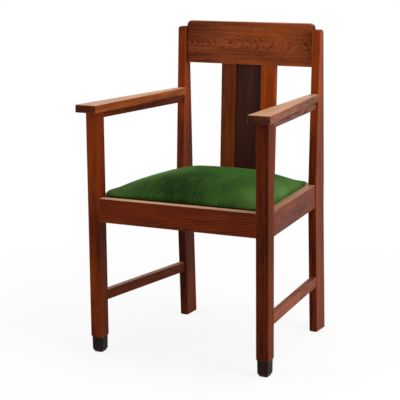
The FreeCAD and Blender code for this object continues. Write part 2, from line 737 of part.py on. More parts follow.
def make_seat_frame():
    """Four beech bars: the front and rear run right across, and the sides are tenoned into them."""
    beside_leg = f"({NOTCH_HALF} - {COVER_SKIN})"
    front_clip = f"({FRAME_FRONT} + seat_corner)"
    past_leg = f"({NOTCH_END} + {COVER_SKIN})"
    full = f"({past_leg} + seat_notch_step)"
    rear_clip = f"({FRAME_REAR} - seat_corner)"
    front_bar = [
        (f"{beside_leg} - seat_corner", FRAME_FRONT), (beside_leg, front_clip), (beside_leg, past_leg),
        (frame_half(full), full), (frame_half(FRONT_JOINT), FRONT_JOINT),
    ]
    rear_bar = [
        (frame_half(REAR_JOINT), REAR_JOINT), (frame_half(rear_clip), rear_clip),
        (f"{frame_half(FRAME_REAR)} - seat_corner", FRAME_REAR),
    ]
    for label, side_plan, joint in (("front", front_bar, FRONT_JOINT), ("rear", rear_bar, REAR_JOINT)):
        body = new_body("seat_frame_" + label)
        bar = outline(body, "bar_plan", "XY_Plane", both_sides(side_plan), FRAME_BOTTOM)
        pad(body, bar, "seat_frame_thickness")
        for side in (1, -1):
            cut_block(body, "seat_mortise", seat_tenon(joint, side))
    side_bar = new_body("seat_frame_right")
    plan = [
        (f"{frame_half(FRONT_JOINT)} - seat_frame_width", FRONT_JOINT),
        (frame_half(FRONT_JOINT), FRONT_JOINT),
        (frame_half(REAR_JOINT), REAR_JOINT),
        (f"{frame_half(REAR_JOINT)} - seat_frame_width", REAR_JOINT),
    ]
    pad(side_bar, outline(side_bar, "bar_plan", "XY_Plane", plan, FRAME_BOTTOM), "seat_frame_thickness")
    for joint in (FRONT_JOINT, REAR_JOINT):
        add_block(side_bar, "seat_tenon", seat_tenon(joint, 1))
    mirror(side_bar)


def strap_places(count, pitch, middle):
    return [f"({middle} + {index - (count - 1) / 2} * {pitch})" for index in range(count)]


ACROSS_PLACES = strap_places(LENGTHWISE_STRAP_COUNT, "strap_pitch_across", "0")
FRAME_MIDDLE = f"(({FRAME_FRONT} + {FRAME_REAR}) / 2)"
ALONG_PLACES = strap_places(CROSSWISE_STRAP_COUNT, "strap_pitch_along", FRAME_MIDDLE)


def strap_profile(start, end, crossings):
    """Side view of a strap that rises over every crossing that it passes on top of."""
    under = [(start, FRAME_TOP)]
    for middle in crossings:
        raised = f"{FRAME_TOP} + strap_thickness"
        half = "(strap_width / 2 + joint_gap)"
        under += [
            (f"{middle} - {half} - strap_ramp", FRAME_TOP), (f"{middle} - {half}", raised),
            (f"{middle} + {half}", raised), (f"{middle} + {half} + strap_ramp", FRAME_TOP),
        ]
    under.append((end, FRAME_TOP))
    over = [(along, f"{height} + strap_thickness") for along, height in reversed(under)]
    return under + over


def make_webbing():
    """Interlaced straps: each goes over and under the straps that it crosses by turns."""
    lengthwise = []
    for index, x in enumerate(ACROSS_PLACES):
        body = new_body(f"strap_lengthwise_{index + 1}", is_node=False)
        over = [y for order, y in enumerate(ALONG_PLACES) if (order + index) % 2 == 0]
        profile = strap_profile(f"{FRAME_FRONT} + strap_end_inset", f"{FRAME_REAR} - strap_end_inset", over)
        pad(body, outline(body, "strap_profile", "YZ_Plane", profile, x), "strap_width", symmetric=True)
        lengthwise.append(body)
    crosswise = []
    for index, y in enumerate(ALONG_PLACES):
        body = new_body(f"strap_crosswise_{index + 1}", is_node=False)
        over = [x for order, x in enumerate(ACROSS_PLACES) if (order + index) % 2 == 1]
        reach = f"({frame_half(f'{y} + strap_width / 2')} - strap_end_inset)"
        profile = strap_profile(f"-{reach}", reach, over)
        pad(body, outline(body, "strap_profile", "XZ_Plane", profile, f"-{y}"), "strap_width", symmetric=True)
        crosswise.append(body)
    group("webbing_lengthwise", lengthwise)
    group("webbing_crosswise", crosswise)


def make_hessian():
    body = new_body("seat_hessian")
    front = f"({FRAME_FRONT} + hessian_inset)"
    rear = f"({FRAME_REAR} - hessian_inset)"
    right_side = [(f"{frame_half(y)} - hessian_inset", y) for y in (front, rear)]
    cloth = outline(body, "cloth_plan", "XY_Plane", both_sides(right_side), HESSIAN_BOTTOM)
    pad(body, cloth, "hessian_thickness")
    return body


def seat_stations(inset):
    """Depth and half width of the seat's plan from front to rear, drawn inwards by an inset.

    Both ends have rounded corners, and behind the front ones the plan steps out past the legs.
    """
    corner = f"(seat_corner - {inset})"
    rounding = []
    for turn in map(math.radians, CORNER_ANGLES):
        rounding.append((f"{corner} * {1 - math.cos(turn):.6f}", f"{corner} * {1 - math.sin(turn):.6f}"))
    front = [(f"({SEAT_FRONT} + {inset} + {back})", f"({NOTCH_HALF} - {inset} - {narrower})")
             for back, narrower in rounding]
    past_leg = f"({NOTCH_END} + {inset})"
    full = f"({past_leg} + seat_notch_step)"
    rear_corner = f"({SEAT_REAR} - seat_corner)"
    middle = [f"({full} + {share} * ({rear_corner} - {full}))" for share in MIDDLE_SHARES]
    rear = []
    for forward, narrower in reversed(rounding):
        y = f"({SEAT_REAR} - {inset} - {forward})"
        rear.append((y, f"({seat_half(y)} - {inset} - {narrower})"))
    beside_leg = (past_leg, f"({NOTCH_HALF} - {inset})")
    return front + [beside_leg] + [(y, f"({seat_half(y)} - {inset})") for y in [full] + middle] + rear


def crown_sections(body, name, inset, bottom):
    """Upright sections of the crowned seat from front to rear, drawn inwards by an inset.

    Each goes up the side, swells in to a shoulder, climbs a flank and crosses a flatter top. From the front
    to the rear of the seat the crown rises and falls by a power curve.
    """
    length = f"({SEAT_REAR} - {SEAT_FRONT} - 2 * {inset})"
    spring = "(rail_top + crown_spring)"
    sketches = []
    for index, (y, half) in enumerate(seat_stations(inset)):
        share = f"(({y} - {SEAT_FRONT} - {inset}) / {length})"
        rise = f"((crown_height - crown_edge) * (1 - abs(1 - 2 * {share})^{CROWN_POWER}))"
        crown = f"(rail_top + crown_edge + {rise} - {inset})"
        shoulder_rise = f"({SHOULDER_EDGE_SHARE} * crown_edge + {SHOULDER_RISE_SHARE} * {rise})"
        shoulder = f"(rail_top + {shoulder_rise} - {inset})"
        flank = f"({shoulder} + {FLANK_RISE_SHARE} * ({crown} - {shoulder}))"
        corners = both_sides([
            (half, bottom), (half, spring), (f"({half} - crown_draw_in)", shoulder),
            (f"({half} * {FLANK_WIDTH_SHARE})", flank),
        ])
        side_swell = f"({SIDE_SWELL_SHARE} * ({shoulder} - {spring}))"
        flank_swell = f"({FLANK_SWELL_SHARE} * ({flank} - {shoulder}))"
        bulges = {1: side_swell, 2: flank_swell, 3: f"({crown} - {flank})", 4: flank_swell, 5: side_swell}
        sketches.append(outline(body, f"{name}_{index + 1}", "XZ_Plane", corners, f"-{y}", bulges))
    return sketches


def make_stuffing():
    body = new_body("seat_stuffing")
    loft(body, "stuffing_crown", crown_sections(body, "stuffing_section", COVER_SKIN, STUFFING_BOTTOM))
    return body


def make_cover():
    """The velvet: a crowned skin that turns in under the seat frame as a hem."""
    body = new_body("seat_cover")
    loft(body, "cover_outside", crown_sections(body, "outside_section", "0", SEAT_BASE))
    inside = crown_sections(body, "inside_section", "cover_thickness", FRAME_BOTTOM)
    loft(body, "cover_inside", inside, kind="SubtractiveLoft")
    front = f"({SEAT_FRONT} + cover_hem)"
    rear = f"({SEAT_REAR} - cover_hem)"
    right_side = [(f"{seat_half(y)} - cover_hem", y) for y in (front, rear)]
    opening = outline(body, "hem_opening", "XY_Plane", both_sides(right_side), SEAT_BASE)
    pocket(body, opening, "2 * cover_thickness", forward=True)
    return body


# Checks and files

def check_and_write():
    doc.recompute()
    for item in doc.Objects:
        if "Invalid" in item.State or "Error" in item.State:
            raise ValueError(f"{item.Label} failed: {item.State}")
    for node in nodes:
        if node.Shape.isNull() or not node.Shape.isValid() or not node.Shape.Solids:
            raise ValueError(f"{node.Label} is not a sound solid")
    os.makedirs("parts", exist_ok=True)
    for node in nodes:
        node.Shape.exportStep(f"parts/{node.Label}.step")
        print(f"{node.Label}: {len(node.Shape.Solids)} solid(s), {node.Shape.Volume / 1000:.1f} cm3")


mirror(make_front_leg())
mirror(make_front_toe())
mirror(make_rear_post())
make_front_rail()
make_rear_rail()
mirror(make_side_rail())
mirror(side_member(
    "side_stretcher_right", LEG_OUT, POST_OUT, "stretcher_thickness", STRETCHER_BOTTOM, "stretcher_top",
    foot_front, stretcher_tenons))
mirror(side_member(
    "under_arm_rail_right", f"{LEG_OUT} - brace_front_inset", f"{POST_OUT} - brace_rear_inset",
    "brace_thickness", BRACE_BOTTOM, ARM_BOTTOM, upright_front, brace_tenons))
mirror(make_arm())
make_crest()
mirror(make_splat_stile())
make_splat_panel()
mirror(make_front_block())
mirror(make_rear_block())
make_seat_frame()
make_webbing()
make_hessian()
make_stuffing()
make_cover()
check_and_write()
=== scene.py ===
# %% [markdown]
# # An open-arm oak chair with a loose velvet seat
#
# The chair's wood is drawn elsewhere as exact solids, and this lesson dresses them: it gives every board
# its own grain and stain, pulls velvet over the seat, and weaves the straps that carry it. Everything is in
# metres, with +Z up and the front of the chair towards -Y.

import math

import bmesh
import bpy
import numpy as np
from mathutils import Matrix, Quaternion, Vector


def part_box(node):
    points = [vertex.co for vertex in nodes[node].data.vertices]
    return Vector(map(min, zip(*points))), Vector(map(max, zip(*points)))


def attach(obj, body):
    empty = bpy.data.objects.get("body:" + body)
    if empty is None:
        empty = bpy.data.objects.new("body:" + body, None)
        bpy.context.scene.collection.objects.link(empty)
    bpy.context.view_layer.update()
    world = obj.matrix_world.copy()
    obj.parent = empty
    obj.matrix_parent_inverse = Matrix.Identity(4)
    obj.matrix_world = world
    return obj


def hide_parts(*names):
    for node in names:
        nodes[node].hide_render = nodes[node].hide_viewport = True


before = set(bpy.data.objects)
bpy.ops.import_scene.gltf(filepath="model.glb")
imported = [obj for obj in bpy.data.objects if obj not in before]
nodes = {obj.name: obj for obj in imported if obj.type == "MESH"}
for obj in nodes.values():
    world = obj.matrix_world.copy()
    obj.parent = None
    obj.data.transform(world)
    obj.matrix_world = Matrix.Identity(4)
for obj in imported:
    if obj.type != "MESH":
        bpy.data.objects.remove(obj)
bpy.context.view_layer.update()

# %% [markdown]
# ## The camera
#
# A long lens from almost four metres keeps the legs nearly upright in the picture, as in a shop photograph.
# The camera is placed by its turn round the chair, its height angle and its distance, because those three
# say more to a reader than a bare position. The slight roll is the tilt of a hand-held picture.

# %% Camera
CAMERA_TURN = math.radians(27.44)
CAMERA_RISE = math.radians(11.27)
CAMERA_ROLL = math.radians(-0.52)
CAMERA_DISTANCE = 3.9136
CAMERA_AIM = Vector((-0.0295, -0.03795, 0.4210))
LENS_MM = 125.05
SENSOR_MM = 36


def put(name, data):
    """A new object in the scene."""
    made = bpy.data.objects.new(name, data)
    bpy.context.scene.collection.objects.link(made)
    return made


reach = math.cos(CAMERA_RISE)
towards_camera = Vector((
    math.sin(CAMERA_TURN) * reach, -math.cos(CAMERA_TURN) * reach, math.sin(CAMERA_RISE)))
lens = bpy.data.cameras.new("camera")
lens.lens = LENS_MM
lens.sensor_width = SENSOR_MM
camera = put("camera", lens)
camera.location = CAMERA_AIM + towards_camera * CAMERA_DISTANCE
camera.rotation_mode = "QUATERNION"
aim = (-towards_camera).to_track_quat("-Z", "Y")
camera.rotation_quaternion = aim @ Quaternion((0, 0, 1), CAMERA_ROLL)
bpy.context.scene.camera = camera
print("camera at", [round(value, 3) for value in camera.location])

# %% [markdown]
# ## Writing a finish as arithmetic
#
# A procedural finish is a graph of small nodes. Drawn by hand it soon becomes a tangle, so here one class
# stands for a value on its way through the graph, and Python's own operators add the Math nodes: a line
# such as `1 - mask * 0.5` reads like the sum that it is. Every other kind of node comes from one method,
# which sets the node's settings first and then its sockets.

# %% Wires
class Wire:
    """One value on its way through a finish; arithmetic on it adds Math nodes."""

    def __init__(self, finish, socket):
        self.finish = finish
        self.socket = socket

    def math(self, operation, *values):
        """One Math node on these values."""
        return self.finish.node("ShaderNodeMath", {"operation": operation}, dict(enumerate(values)))

    def __add__(self, other):
        return self.math("ADD", self, other)

    def __radd__(self, other):
        return self.math("ADD", other, self)

    def __sub__(self, other):
        return self.math("SUBTRACT", self, other)

    def __rsub__(self, other):
        return self.math("SUBTRACT", other, self)

    def __mul__(self, other):
        return self.math("MULTIPLY", self, other)

    def __rmul__(self, other):
        return self.math("MULTIPLY", other, self)

    def __truediv__(self, other):
        return self.math("DIVIDE", self, other)

    def __rtruediv__(self, other):
        return self.math("DIVIDE", other, self)

    def __pow__(self, other):
        return self.math("POWER", self, other)

    def __abs__(self):
        return self.math("ABSOLUTE", self)

    def part(self):
        """What is left after whole numbers are taken away."""
        return self.math("FRACT", self)

    def whole(self):
        """The whole number at or under the value."""
        return self.math("FLOOR", self)

    def sine(self):
        """The sine of the value, in radians."""
        return self.math("SINE", self)

    def over(self, low, high):
        """Climbs smoothly from 0 at low to 1 at high."""
        return self.finish.node("ShaderNodeMapRange", {"interpolation_type": "SMOOTHSTEP"},
                                {0: self, 1: low, 2: high, 3: 0.0, 4: 1.0})


print("a number may also come first:", [name for name in vars(Wire) if name.startswith("__r")])

# %% [markdown]
# ## A finish under construction
#
# Every finish needs the same few things: a place on the chair, some noise, two colours mixed, a bump. The
# second class keeps them as methods on one node graph. Its `node` method makes any kind of node, so that
# nothing else in the lesson has to know how Blender adds and links them.

# %% Finishes
class Finish:
    """A material, or the world's light, under construction."""

    def __init__(self, tree):
        self.tree = tree
        tree.nodes.clear()

    def node(self, kind, settings=None, sockets=None, output=0):
        """Adds a node: its settings come first, then the values or links of its sockets."""
        made = self.tree.nodes.new(kind)
        for name, value in (settings or {}).items():
            setattr(made, name, value)
        for name, value in (sockets or {}).items():
            if isinstance(value, Wire):
                self.tree.links.new(value.socket, made.inputs[name])
            else:
                made.inputs[name].default_value = value
        return Wire(self, made.outputs[output])

    def parts(self, vector, axes="XYZ"):
        """A vector's parts along some axes, as separate values."""
        return [self.node("ShaderNodeSeparateXYZ", sockets={0: vector}, output=axis) for axis in axes]

    def place(self):
        """Where a point is on the chair, as three separate values in metres."""
        return self.parts(self.node("ShaderNodeTexCoord", output="Object"))

    def noise(self, place, detail=3.0):
        """Cloudy noise around 0.5, at a place that is already scaled."""
        point = self.node("ShaderNodeCombineXYZ", sockets=dict(zip("XYZ", place)))
        return self.node("ShaderNodeTexNoise", sockets={"Vector": point, "Scale": 1.0, "Detail": detail})

    def mix(self, first, second, share):
        """The first colour, with a share of the second laid over it."""
        return self.node("ShaderNodeMix", {"data_type": "RGBA"}, {0: share, 6: first, 7: second}, output=2)

    def bump(self, height, depth):
        """A normal that follows a height, of which 1 stands for a depth in metres."""
        return self.node("ShaderNodeBump", sockets={"Height": height, "Distance": depth, "Strength": 1.0})

    def surface(self, shader, output="ShaderNodeOutputMaterial"):
        """Ends the graph with a shader."""
        end = self.tree.nodes.new(output)
        self.tree.links.new(shader.socket, end.inputs["Surface"])

    def principled(self, sockets):
        """Ends the graph with Blender's all-round shader."""
        self.surface(self.node("ShaderNodeBsdfPrincipled", sockets=sockets))


def new_material(name):
    """A bare material and the finish that fills it."""
    material = bpy.data.materials.new(name)
    material.use_nodes = True
    return material, Finish(material.node_tree)


def paint(red, green, blue):
    """A colour given as on a screen, from 0 to 255, as the linear light that shaders work in."""
    def linear(value):
        share = value / 255
        return share / 12.92 if share <= 0.04045 else ((share + 0.055) / 1.055) ** 2.4

    return linear(red), linear(green), linear(blue), 1.0


print("mid grey is", round(paint(128, 128, 128)[0], 3), "in linear light")

# %% [markdown]
# ## Stained oak
#
# A board's figure is a slice through the tree's rings. So the finish starts from the tree: a heart line
# runs along the board, the distance from it is counted in rings, and noise makes the rings wander. Cut far
# from the heart, the face shows straight lines; where the heart line leans through the board it shows the
# pointed arches of the crest. No two years are alike, so each ring draws its own darkness from its number.
# Stain sinks into the open pores at the start of each ring, and those come out darker, rougher and a hair
# deeper.

# %% Rings and pores
# For each grain, which of X, Y and Z runs along the board, across it and through it
AXES = {"x": (0, 2, 1), "y": (1, 2, 0), "z": (2, 0, 1)}
RING_START, RING_FADED = 0.12, 0.6
PALEST_YEAR = 0.3


def board_noise(finish, board, along_count, across_count, detail, shift=None):
    """Noise drawn out along the grain; the counts say how many clouds a metre has along and across it."""
    along, across, through = board
    start = along * along_count
    if shift:
        start = start + shift
    return finish.noise((start, across * across_count, through * across_count), detail)


def ring_lines(finish, board, heart, ring, lean, wander, ripple):
    """The dark start of each ring round a heart line that leans through the board."""
    along, across, through = board
    drift = board_noise(finish, board, 4, 14, detail=2.0) - 0.5
    waves = board_noise(finish, board, 26, 60, detail=2.0) - 0.5
    sideways = across - heart[0]
    deep = through - heart[1] + along * lean
    distance = (sideways * sideways + deep * deep) ** 0.5
    count = distance / ring + drift * wander + waves * ripple
    year = finish.node("ShaderNodeTexWhiteNoise", {"noise_dimensions": "1D"}, {"W": count.whole()})
    share = count.part()
    line = share.over(0.0, RING_START) * (1 - share.over(RING_START, RING_FADED))
    return line * (year * (1 - PALEST_YEAR) + PALEST_YEAR)


def pores(finish, board):
    """Short dark dashes along the grain."""
    return board_noise(finish, board, 95, 1300, detail=1.0).over(0.54, 0.7)


print("grain can run along", ", ".join(AXES))

# %% [markdown]
# ## Wear and painted light
#
# Edges are paler, partly where hands and shoes have rubbed them and partly as a painted highlight: a Bevel
# node finds them on any solid, because its softened normal leaves the true one only near an edge. Faces that
# look upwards, and those that look to the right, are painted paler as painted light, and end grain drinks
# more stain than the long faces do. These are found by asking which way a face looks.

# %% Pale edges and the way a face looks
EDGE_BAND = 0.0032


def outside_edges(finish):
    """1 along the outside edges of a solid, and 0 on its faces."""
    softened = finish.node("ShaderNodeBevel", {"samples": 4}, {"Radius": EDGE_BAND})
    straight = finish.node("ShaderNodeNewGeometry", output="Normal")
    likeness = finish.node("ShaderNodeVectorMath", {"operation": "DOT_PRODUCT"}, {0: softened, 1: straight},
                           output="Value")
    return (1 - likeness).over(0.03, 0.3)


def looks_along(finish, axis):
    """How far a face looks along an axis: 1 or -1 straight along it, 0 beside it."""
    return finish.parts(finish.node("ShaderNodeNewGeometry", output="Normal"), axis)[0]


print(f"edges are rubbed {EDGE_BAND * 1000:.1f} mm wide")

# %% [markdown]
# ## One board's finish
#
# The layers go on as they do on a real board: cloudy stain, streaks along the grain, the dark ring lines and
# a warmer glow where the stain took less. Then light and shade are painted in: darker low down as painted
# shade, paler tops and right-hand faces as painted light, and last the pale edges, partly wear and partly a
# painted highlight. The polish is a thin old wax, so the gloss is weak from the front and only shows along
# the sides and tops, where light grazes them.

# %% Oak
# Pale colour of the edges, partly wear and partly painted highlight
WORN_AND_LIT_EDGE_OAK = paint(178, 104, 58)
# Painted light on faces that look upwards
TOP_LIT_OAK = paint(214, 164, 130)
# Painted light on right-hand faces, and a pinker version of it for the right post
RIGHT_LIT_OAK = paint(150, 66, 28)
PINK_RIGHT_LIT_OAK = paint(160, 86, 54)
CLOUD_SHARE, PORE_SHARE, END_GRAIN_SHARE, DARK_END_SHARE, WARM_SHARE = 0.42, 0.2, 0.6, 0.26, 0.6


def oak(name, grain, heart, stain, ring=0.003, lean=0.0, wander=1.5, ripple=0.6, contrast=0.4,
        streaky=0.28, edge_wear_and_light=0.4, top_light=0.0, right_light=0.0, right_lit_colour=RIGHT_LIT_OAK, gloss=0.04,
        painted_shade_below=None, shade=0.46, dark_ends=None):
    """A stained and rubbed oak finish with its grain along x, y or z.

    The stain is its pale, deep and warm colours. The rings have a width, the lean of their heart line, and
    waves of two sizes, wander and ripple. Tops are painted paler as painted light, and right-hand faces
    are painted towards a given lit colour as painted light from the window.
    Between two given heights the board is painted darker downwards by shade, as painted shade under the
    arms and seat, and between the distances of dark_ends it grows darker towards its ends.
    """
    material, finish = new_material(name)
    place = finish.place()
    board = [place[axis] for axis in AXES[grain]]
    pale, deep, warm = (paint(*colour) for colour in stain)
    lines = ring_lines(finish, board, heart, ring, lean, wander, ripple)
    dashes = pores(finish, board)
    streaks = board_noise(finish, board, 5, 150, detail=3.0).over(0.3, 0.7)
    cloud = board_noise(finish, board, 4, 16, detail=3.0).over(0.3, 0.7)
    warmth = board_noise(finish, board, 3, 24, detail=2.0, shift=7.0).over(0.42, 0.7)
    end_grain = abs(looks_along(finish, grain.upper())).over(0.6, 0.95)
    dark = lines * contrast + streaks * streaky + cloud * CLOUD_SHARE
    dark = dark + dashes * PORE_SHARE + end_grain * END_GRAIN_SHARE
    # painted shade: darker downwards between two heights, for the shade under the arms and seat
    if painted_shade_below:
        dark = dark + (1 - place[2].over(*painted_shade_below)) * shade
    if dark_ends:
        dark = dark + abs(board[0]).over(*dark_ends) * DARK_END_SHARE
    stained = finish.mix(finish.mix(pale, warm, warmth * WARM_SHARE), deep, dark.over(0.05, 1.1))
    # painted light: right-hand faces are painted paler, for the window light on them
    if right_light:
        lit_right = looks_along(finish, "X").over(0.5, 0.9) * (1 - dark * 0.4) * right_light
        stained = finish.mix(stained, right_lit_colour, lit_right)
    # painted light: faces that look upwards are painted paler, for the light falling on the tops
    lit_tops = looks_along(finish, "Z").over(0.5, 0.95) * (1 - dark * 0.5) * top_light
    # pale edges: partly wear, partly a painted highlight along the edges
    worn_and_lit_edges = outside_edges(finish) * (1 - cloud * 0.7) * edge_wear_and_light
    finish.principled({
        "Base Color": finish.mix(finish.mix(stained, TOP_LIT_OAK, lit_tops), WORN_AND_LIT_EDGE_OAK, worn_and_lit_edges),
        "Roughness": streaks * 0.12 + dashes * 0.15 + 0.3,
        "Normal": finish.bump(1 - (lines * 0.3 + dashes), depth=0.0003),
        "Specular IOR Level": gloss,
    })
    return material


def dress(material, *names):
    """Gives a finish to solids by name."""
    for name in names:
        slots = nodes[name].data.materials
        slots.clear()
        slots.append(material)


def both(name):
    """A piece's names on the left and on the right."""
    return f"{name}_left", f"{name}_right"


print("rubbed oak, in linear light:", [round(share, 3) for share in WORN_AND_LIT_EDGE_OAK[:3]])

# %% [markdown]
# ## Which board came from where
#
# Two boards of one chair never match. The legs and posts are straight-grained, but the right front leg came
# from a wavy part of the tree. The crest is a wide flat-sawn board with the heart line leaning through it,
# and one stile of the splat took the stain much redder than the other. The posts are painted darker below
# the arms and the front legs below the rails, as painted shade under the arms and the seat, and the crest
# grows darker towards its ends. Right-hand faces are painted paler as painted light from the window, on the
# right post in a pinker colour. Each call says where the tree's heart lay, how wide its rings were, and how
# the stain came out.

# %% Stains
BROWN = (110, 43, 12), (46, 15, 6), (140, 55, 11)
WARM_BROWN = (120, 48, 14), (50, 17, 7), (150, 60, 11)
DEEP_BROWN = (100, 36, 9), (42, 13, 5), (126, 48, 10)
DARK_RED = (90, 33, 9), (34, 10, 5), (124, 50, 13)
RED_BROWN = (138, 55, 17), (52, 17, 8), (148, 62, 14)
CREST_BROWN = (152, 74, 34), (74, 28, 13), (162, 76, 26)
CALM_BROWN = (126, 56, 20), (58, 22, 9), (140, 62, 18)
ORANGE = (168, 68, 9), (96, 36, 6), (180, 76, 10)
GOLDEN = (158, 78, 28), (66, 24, 10), (176, 94, 36)
NUT_BROWN = (142, 76, 46), (52, 24, 16), (150, 82, 48)
print("the deepest stain:", DARK_RED[1])

# %% Dress the oak
CREST_LEAN = 0.13
CREST_HEART_X = -0.3
# Heights over which the painted shade under the arms, and under the seat rails, fades in
ARM_HEIGHTS = 0.5, 0.74
RAIL_HEIGHTS = 0.3, 0.5
CREST_ENDS = 0.08, 0.22
crest_low, crest_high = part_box("crest_rail")
crest_heart = (crest_low.z + crest_high.z) / 2, crest_low.y + CREST_LEAN * CREST_HEART_X

# Some boards are painted darker low down as painted shade, and paler on tops and right-hand faces as painted
# light
dress(oak("oak_left_leg", "z", (0.62, -0.1), WARM_BROWN, contrast=0.3, edge_wear_and_light=0.8, gloss=0.02,
          painted_shade_below=RAIL_HEIGHTS, shade=0.2), "front_leg_left")
dress(oak("oak_right_leg", "z", (0.31, -0.3), DARK_RED, ring=0.0025, lean=0.15, wander=3.0, contrast=0.42,
          right_light=0.3, gloss=0.025, painted_shade_below=RAIL_HEIGHTS, shade=0.1), "front_leg_right")
dress(oak("oak_left_post", "z", (0.5, 0.9), RED_BROWN, contrast=0.3, right_light=0.2, gloss=0.02,
          painted_shade_below=ARM_HEIGHTS, shade=0.4), "rear_post_left")
dress(oak("oak_right_post", "z", (0.5, 0.9), RED_BROWN, contrast=0.3, right_light=0.5, right_lit_colour=PINK_RIGHT_LIT_OAK, gloss=0.02,
          painted_shade_below=ARM_HEIGHTS), "rear_post_right")
dress(oak("oak_cross_rails", "x", (0.31, 0.03), DEEP_BROWN, lean=0.06, ripple=1.2, edge_wear_and_light=0.6, top_light=1.05),
      "front_seat_rail", "rear_seat_rail")
dress(oak("oak_side_rails", "y", (0.22, 0.5), BROWN, contrast=0.15, streaky=0.12, top_light=0.5),
      *both("side_seat_rail"))
dress(oak("oak_left_stretcher", "y", (0.0, 0.5), DEEP_BROWN, contrast=0.2, top_light=0.6),
      "side_stretcher_left")
dress(oak("oak_right_stretcher", "y", (0.0, 0.5), NUT_BROWN, contrast=0.2, gloss=0.02),
      "side_stretcher_right")
dress(oak("oak_left_arm", "y", (0.5, 0.1), GOLDEN, edge_wear_and_light=0.6, top_light=0.85), "arm_left")
dress(oak("oak_right_arm", "y", (0.5, 0.1), NUT_BROWN, contrast=0.5, edge_wear_and_light=0.6, top_light=0.85), "arm_right")
dress(oak("oak_left_under_arm", "y", (0.3, 0.1), BROWN), "under_arm_rail_left")
dress(oak("oak_right_under_arm", "y", (0.3, 0.1), NUT_BROWN, contrast=0.7, streaky=0.5),
      "under_arm_rail_right")
dress(oak("oak_crest", "x", crest_heart, CREST_BROWN, ring=0.0026, lean=CREST_LEAN, wander=4.0, ripple=3.0,
          contrast=0.5, top_light=0.5, dark_ends=CREST_ENDS), "crest_rail")
dress(oak("oak_left_stile", "z", (0.25, 0.1), CALM_BROWN, contrast=0.3), "splat_stile_left")
dress(oak("oak_right_stile", "z", (0.4, 0.1), ORANGE), "splat_stile_right")
print("oak finishes:", sum(material.name.startswith("oak") for material in bpy.data.materials))

# %% [markdown]
# ## Blackened wood
#
# The toes and the middle panel of the splat are stained nearly black, with the grain only just showing
# through as reddish streaks. The mirrored room shows more on a dark surface than on a brown one, so the
# gloss is held low, and the toes get pale scuffs along their lowest edges.

# %% Blackened wood
SCUFF = paint(120, 92, 70)
TOE_SCUFFS, PANEL_SCUFFS = 0.03, 0.001


def blackened(name, pale, deep, scuffed_below):
    """Near-black stain with upright streaks, scuffed to bare wood near the floor."""
    material, finish = new_material(name)
    x, y, z = finish.place()
    streaks = finish.noise((x * 210, y * 210, z * 3), detail=3.0).over(0.3, 0.7)
    veil = finish.noise((x * 30, y * 30, z * 1.6), detail=2.0).over(0.3, 0.7)
    stain = finish.mix(deep, pale, streaks * 0.5 + veil * 0.5)
    low = 1 - (z / scuffed_below).over(0.0, 1.0)
    scuffs = finish.noise((x * 160, y * 160, z * 90), detail=2.0).over(0.5, 0.68)
    colour = finish.mix(stain, SCUFF, (outside_edges(finish) * 0.5 + 0.1) * scuffs * (low + 0.1))
    finish.principled({
        "Base Color": colour,
        "Roughness": streaks * 0.15 + 0.35,
        "Normal": finish.bump(streaks, depth=0.0002),
        "Specular IOR Level": 0.06,
    })
    return material


dress(blackened("blackened_toes", paint(38, 22, 18), paint(22, 12, 10), TOE_SCUFFS), *both("front_toe"))
dress(blackened("blackened_panel", paint(70, 29, 20), paint(30, 12, 8), PANEL_SCUFFS), "splat_panel")
print("blackened: toes and splat panel")

# %% [markdown]
# ## Bare beech
#
# Nobody sees the corner blocks and the loose seat's frame from above, so they were left unstained: pale
# beech with short, fine flecks and a little grime.

# %% Beech
PALE_BEECH, DEEP_BEECH = paint(206, 172, 130), paint(184, 142, 98)
FLECK, GRIME = paint(150, 104, 66), paint(120, 92, 66)
CORNER_BLOCKS = (*both("corner_block_front"), *both("corner_block_rear"))


def beech(name, grain):
    """Bare beech with its grain along x or y."""
    material, finish = new_material(name)
    place = finish.place()
    board = [place[axis] for axis in AXES[grain]]
    flecks = board_noise(finish, board, 180, 1400, detail=1.0).over(0.55, 0.75)
    bands = board_noise(finish, board, 3, 90, detail=3.0)
    grime = finish.noise((place[0] * 14, place[1] * 14, place[2] * 14), detail=4.0).over(0.45, 0.8)
    wood = finish.mix(PALE_BEECH, DEEP_BEECH, bands.over(0.3, 0.7))
    flecked = finish.mix(wood, FLECK, flecks * 0.5)
    finish.principled({
        "Base Color": finish.mix(flecked, GRIME, grime * 0.45),
        "Roughness": bands * 0.2 + 0.6,
        "Normal": finish.bump(1 - flecks, depth=0.0002),
        "Specular IOR Level": 0.25,
    })
    return material


dress(beech("beech_across", "x"), "seat_frame_front", "seat_frame_rear", *CORNER_BLOCKS)
dress(beech("beech_lengthwise", "y"), *both("seat_frame"))
print("beech: seat frame and corner blocks")

# %% [markdown]
# ## Building soft pieces
#
# The cloth pieces are new meshes. Each rides on the loose seat, so that it lifts out with it, and takes the
# place of the plain solid that stands for it. A small helper keeps those lines together.

# %% New pieces
SEAT = "loose_seat"


def add_piece(name, mesh, material, body=SEAT, smooth=True):
    """Puts a finished mesh on a body of the chair."""
    piece = put(name, mesh)
    mesh.materials.clear()
    mesh.materials.append(material)
    mesh.polygons.foreach_set("use_smooth", np.full(len(mesh.polygons), smooth))
    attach(piece, body)
    return piece


def mesh_of(build, name):
    """A mesh that a bmesh has been built into."""
    mesh = bpy.data.meshes.new(name)
    build.to_mesh(mesh)
    build.free()
    return mesh


def settled(holder):
    """The mesh of an object with its modifiers worked in."""
    bpy.context.view_layer.update()
    seen = holder.evaluated_get(bpy.context.evaluated_depsgraph_get())
    return bpy.data.meshes.new_from_object(seen)


def corners_of(mesh):
    """The places of a mesh's points, one row each."""
    flat = np.empty(len(mesh.vertices) * 3)
    mesh.vertices.foreach_get("co", flat)
    return flat.reshape(-1, 3)


print("soft pieces ride on", SEAT)

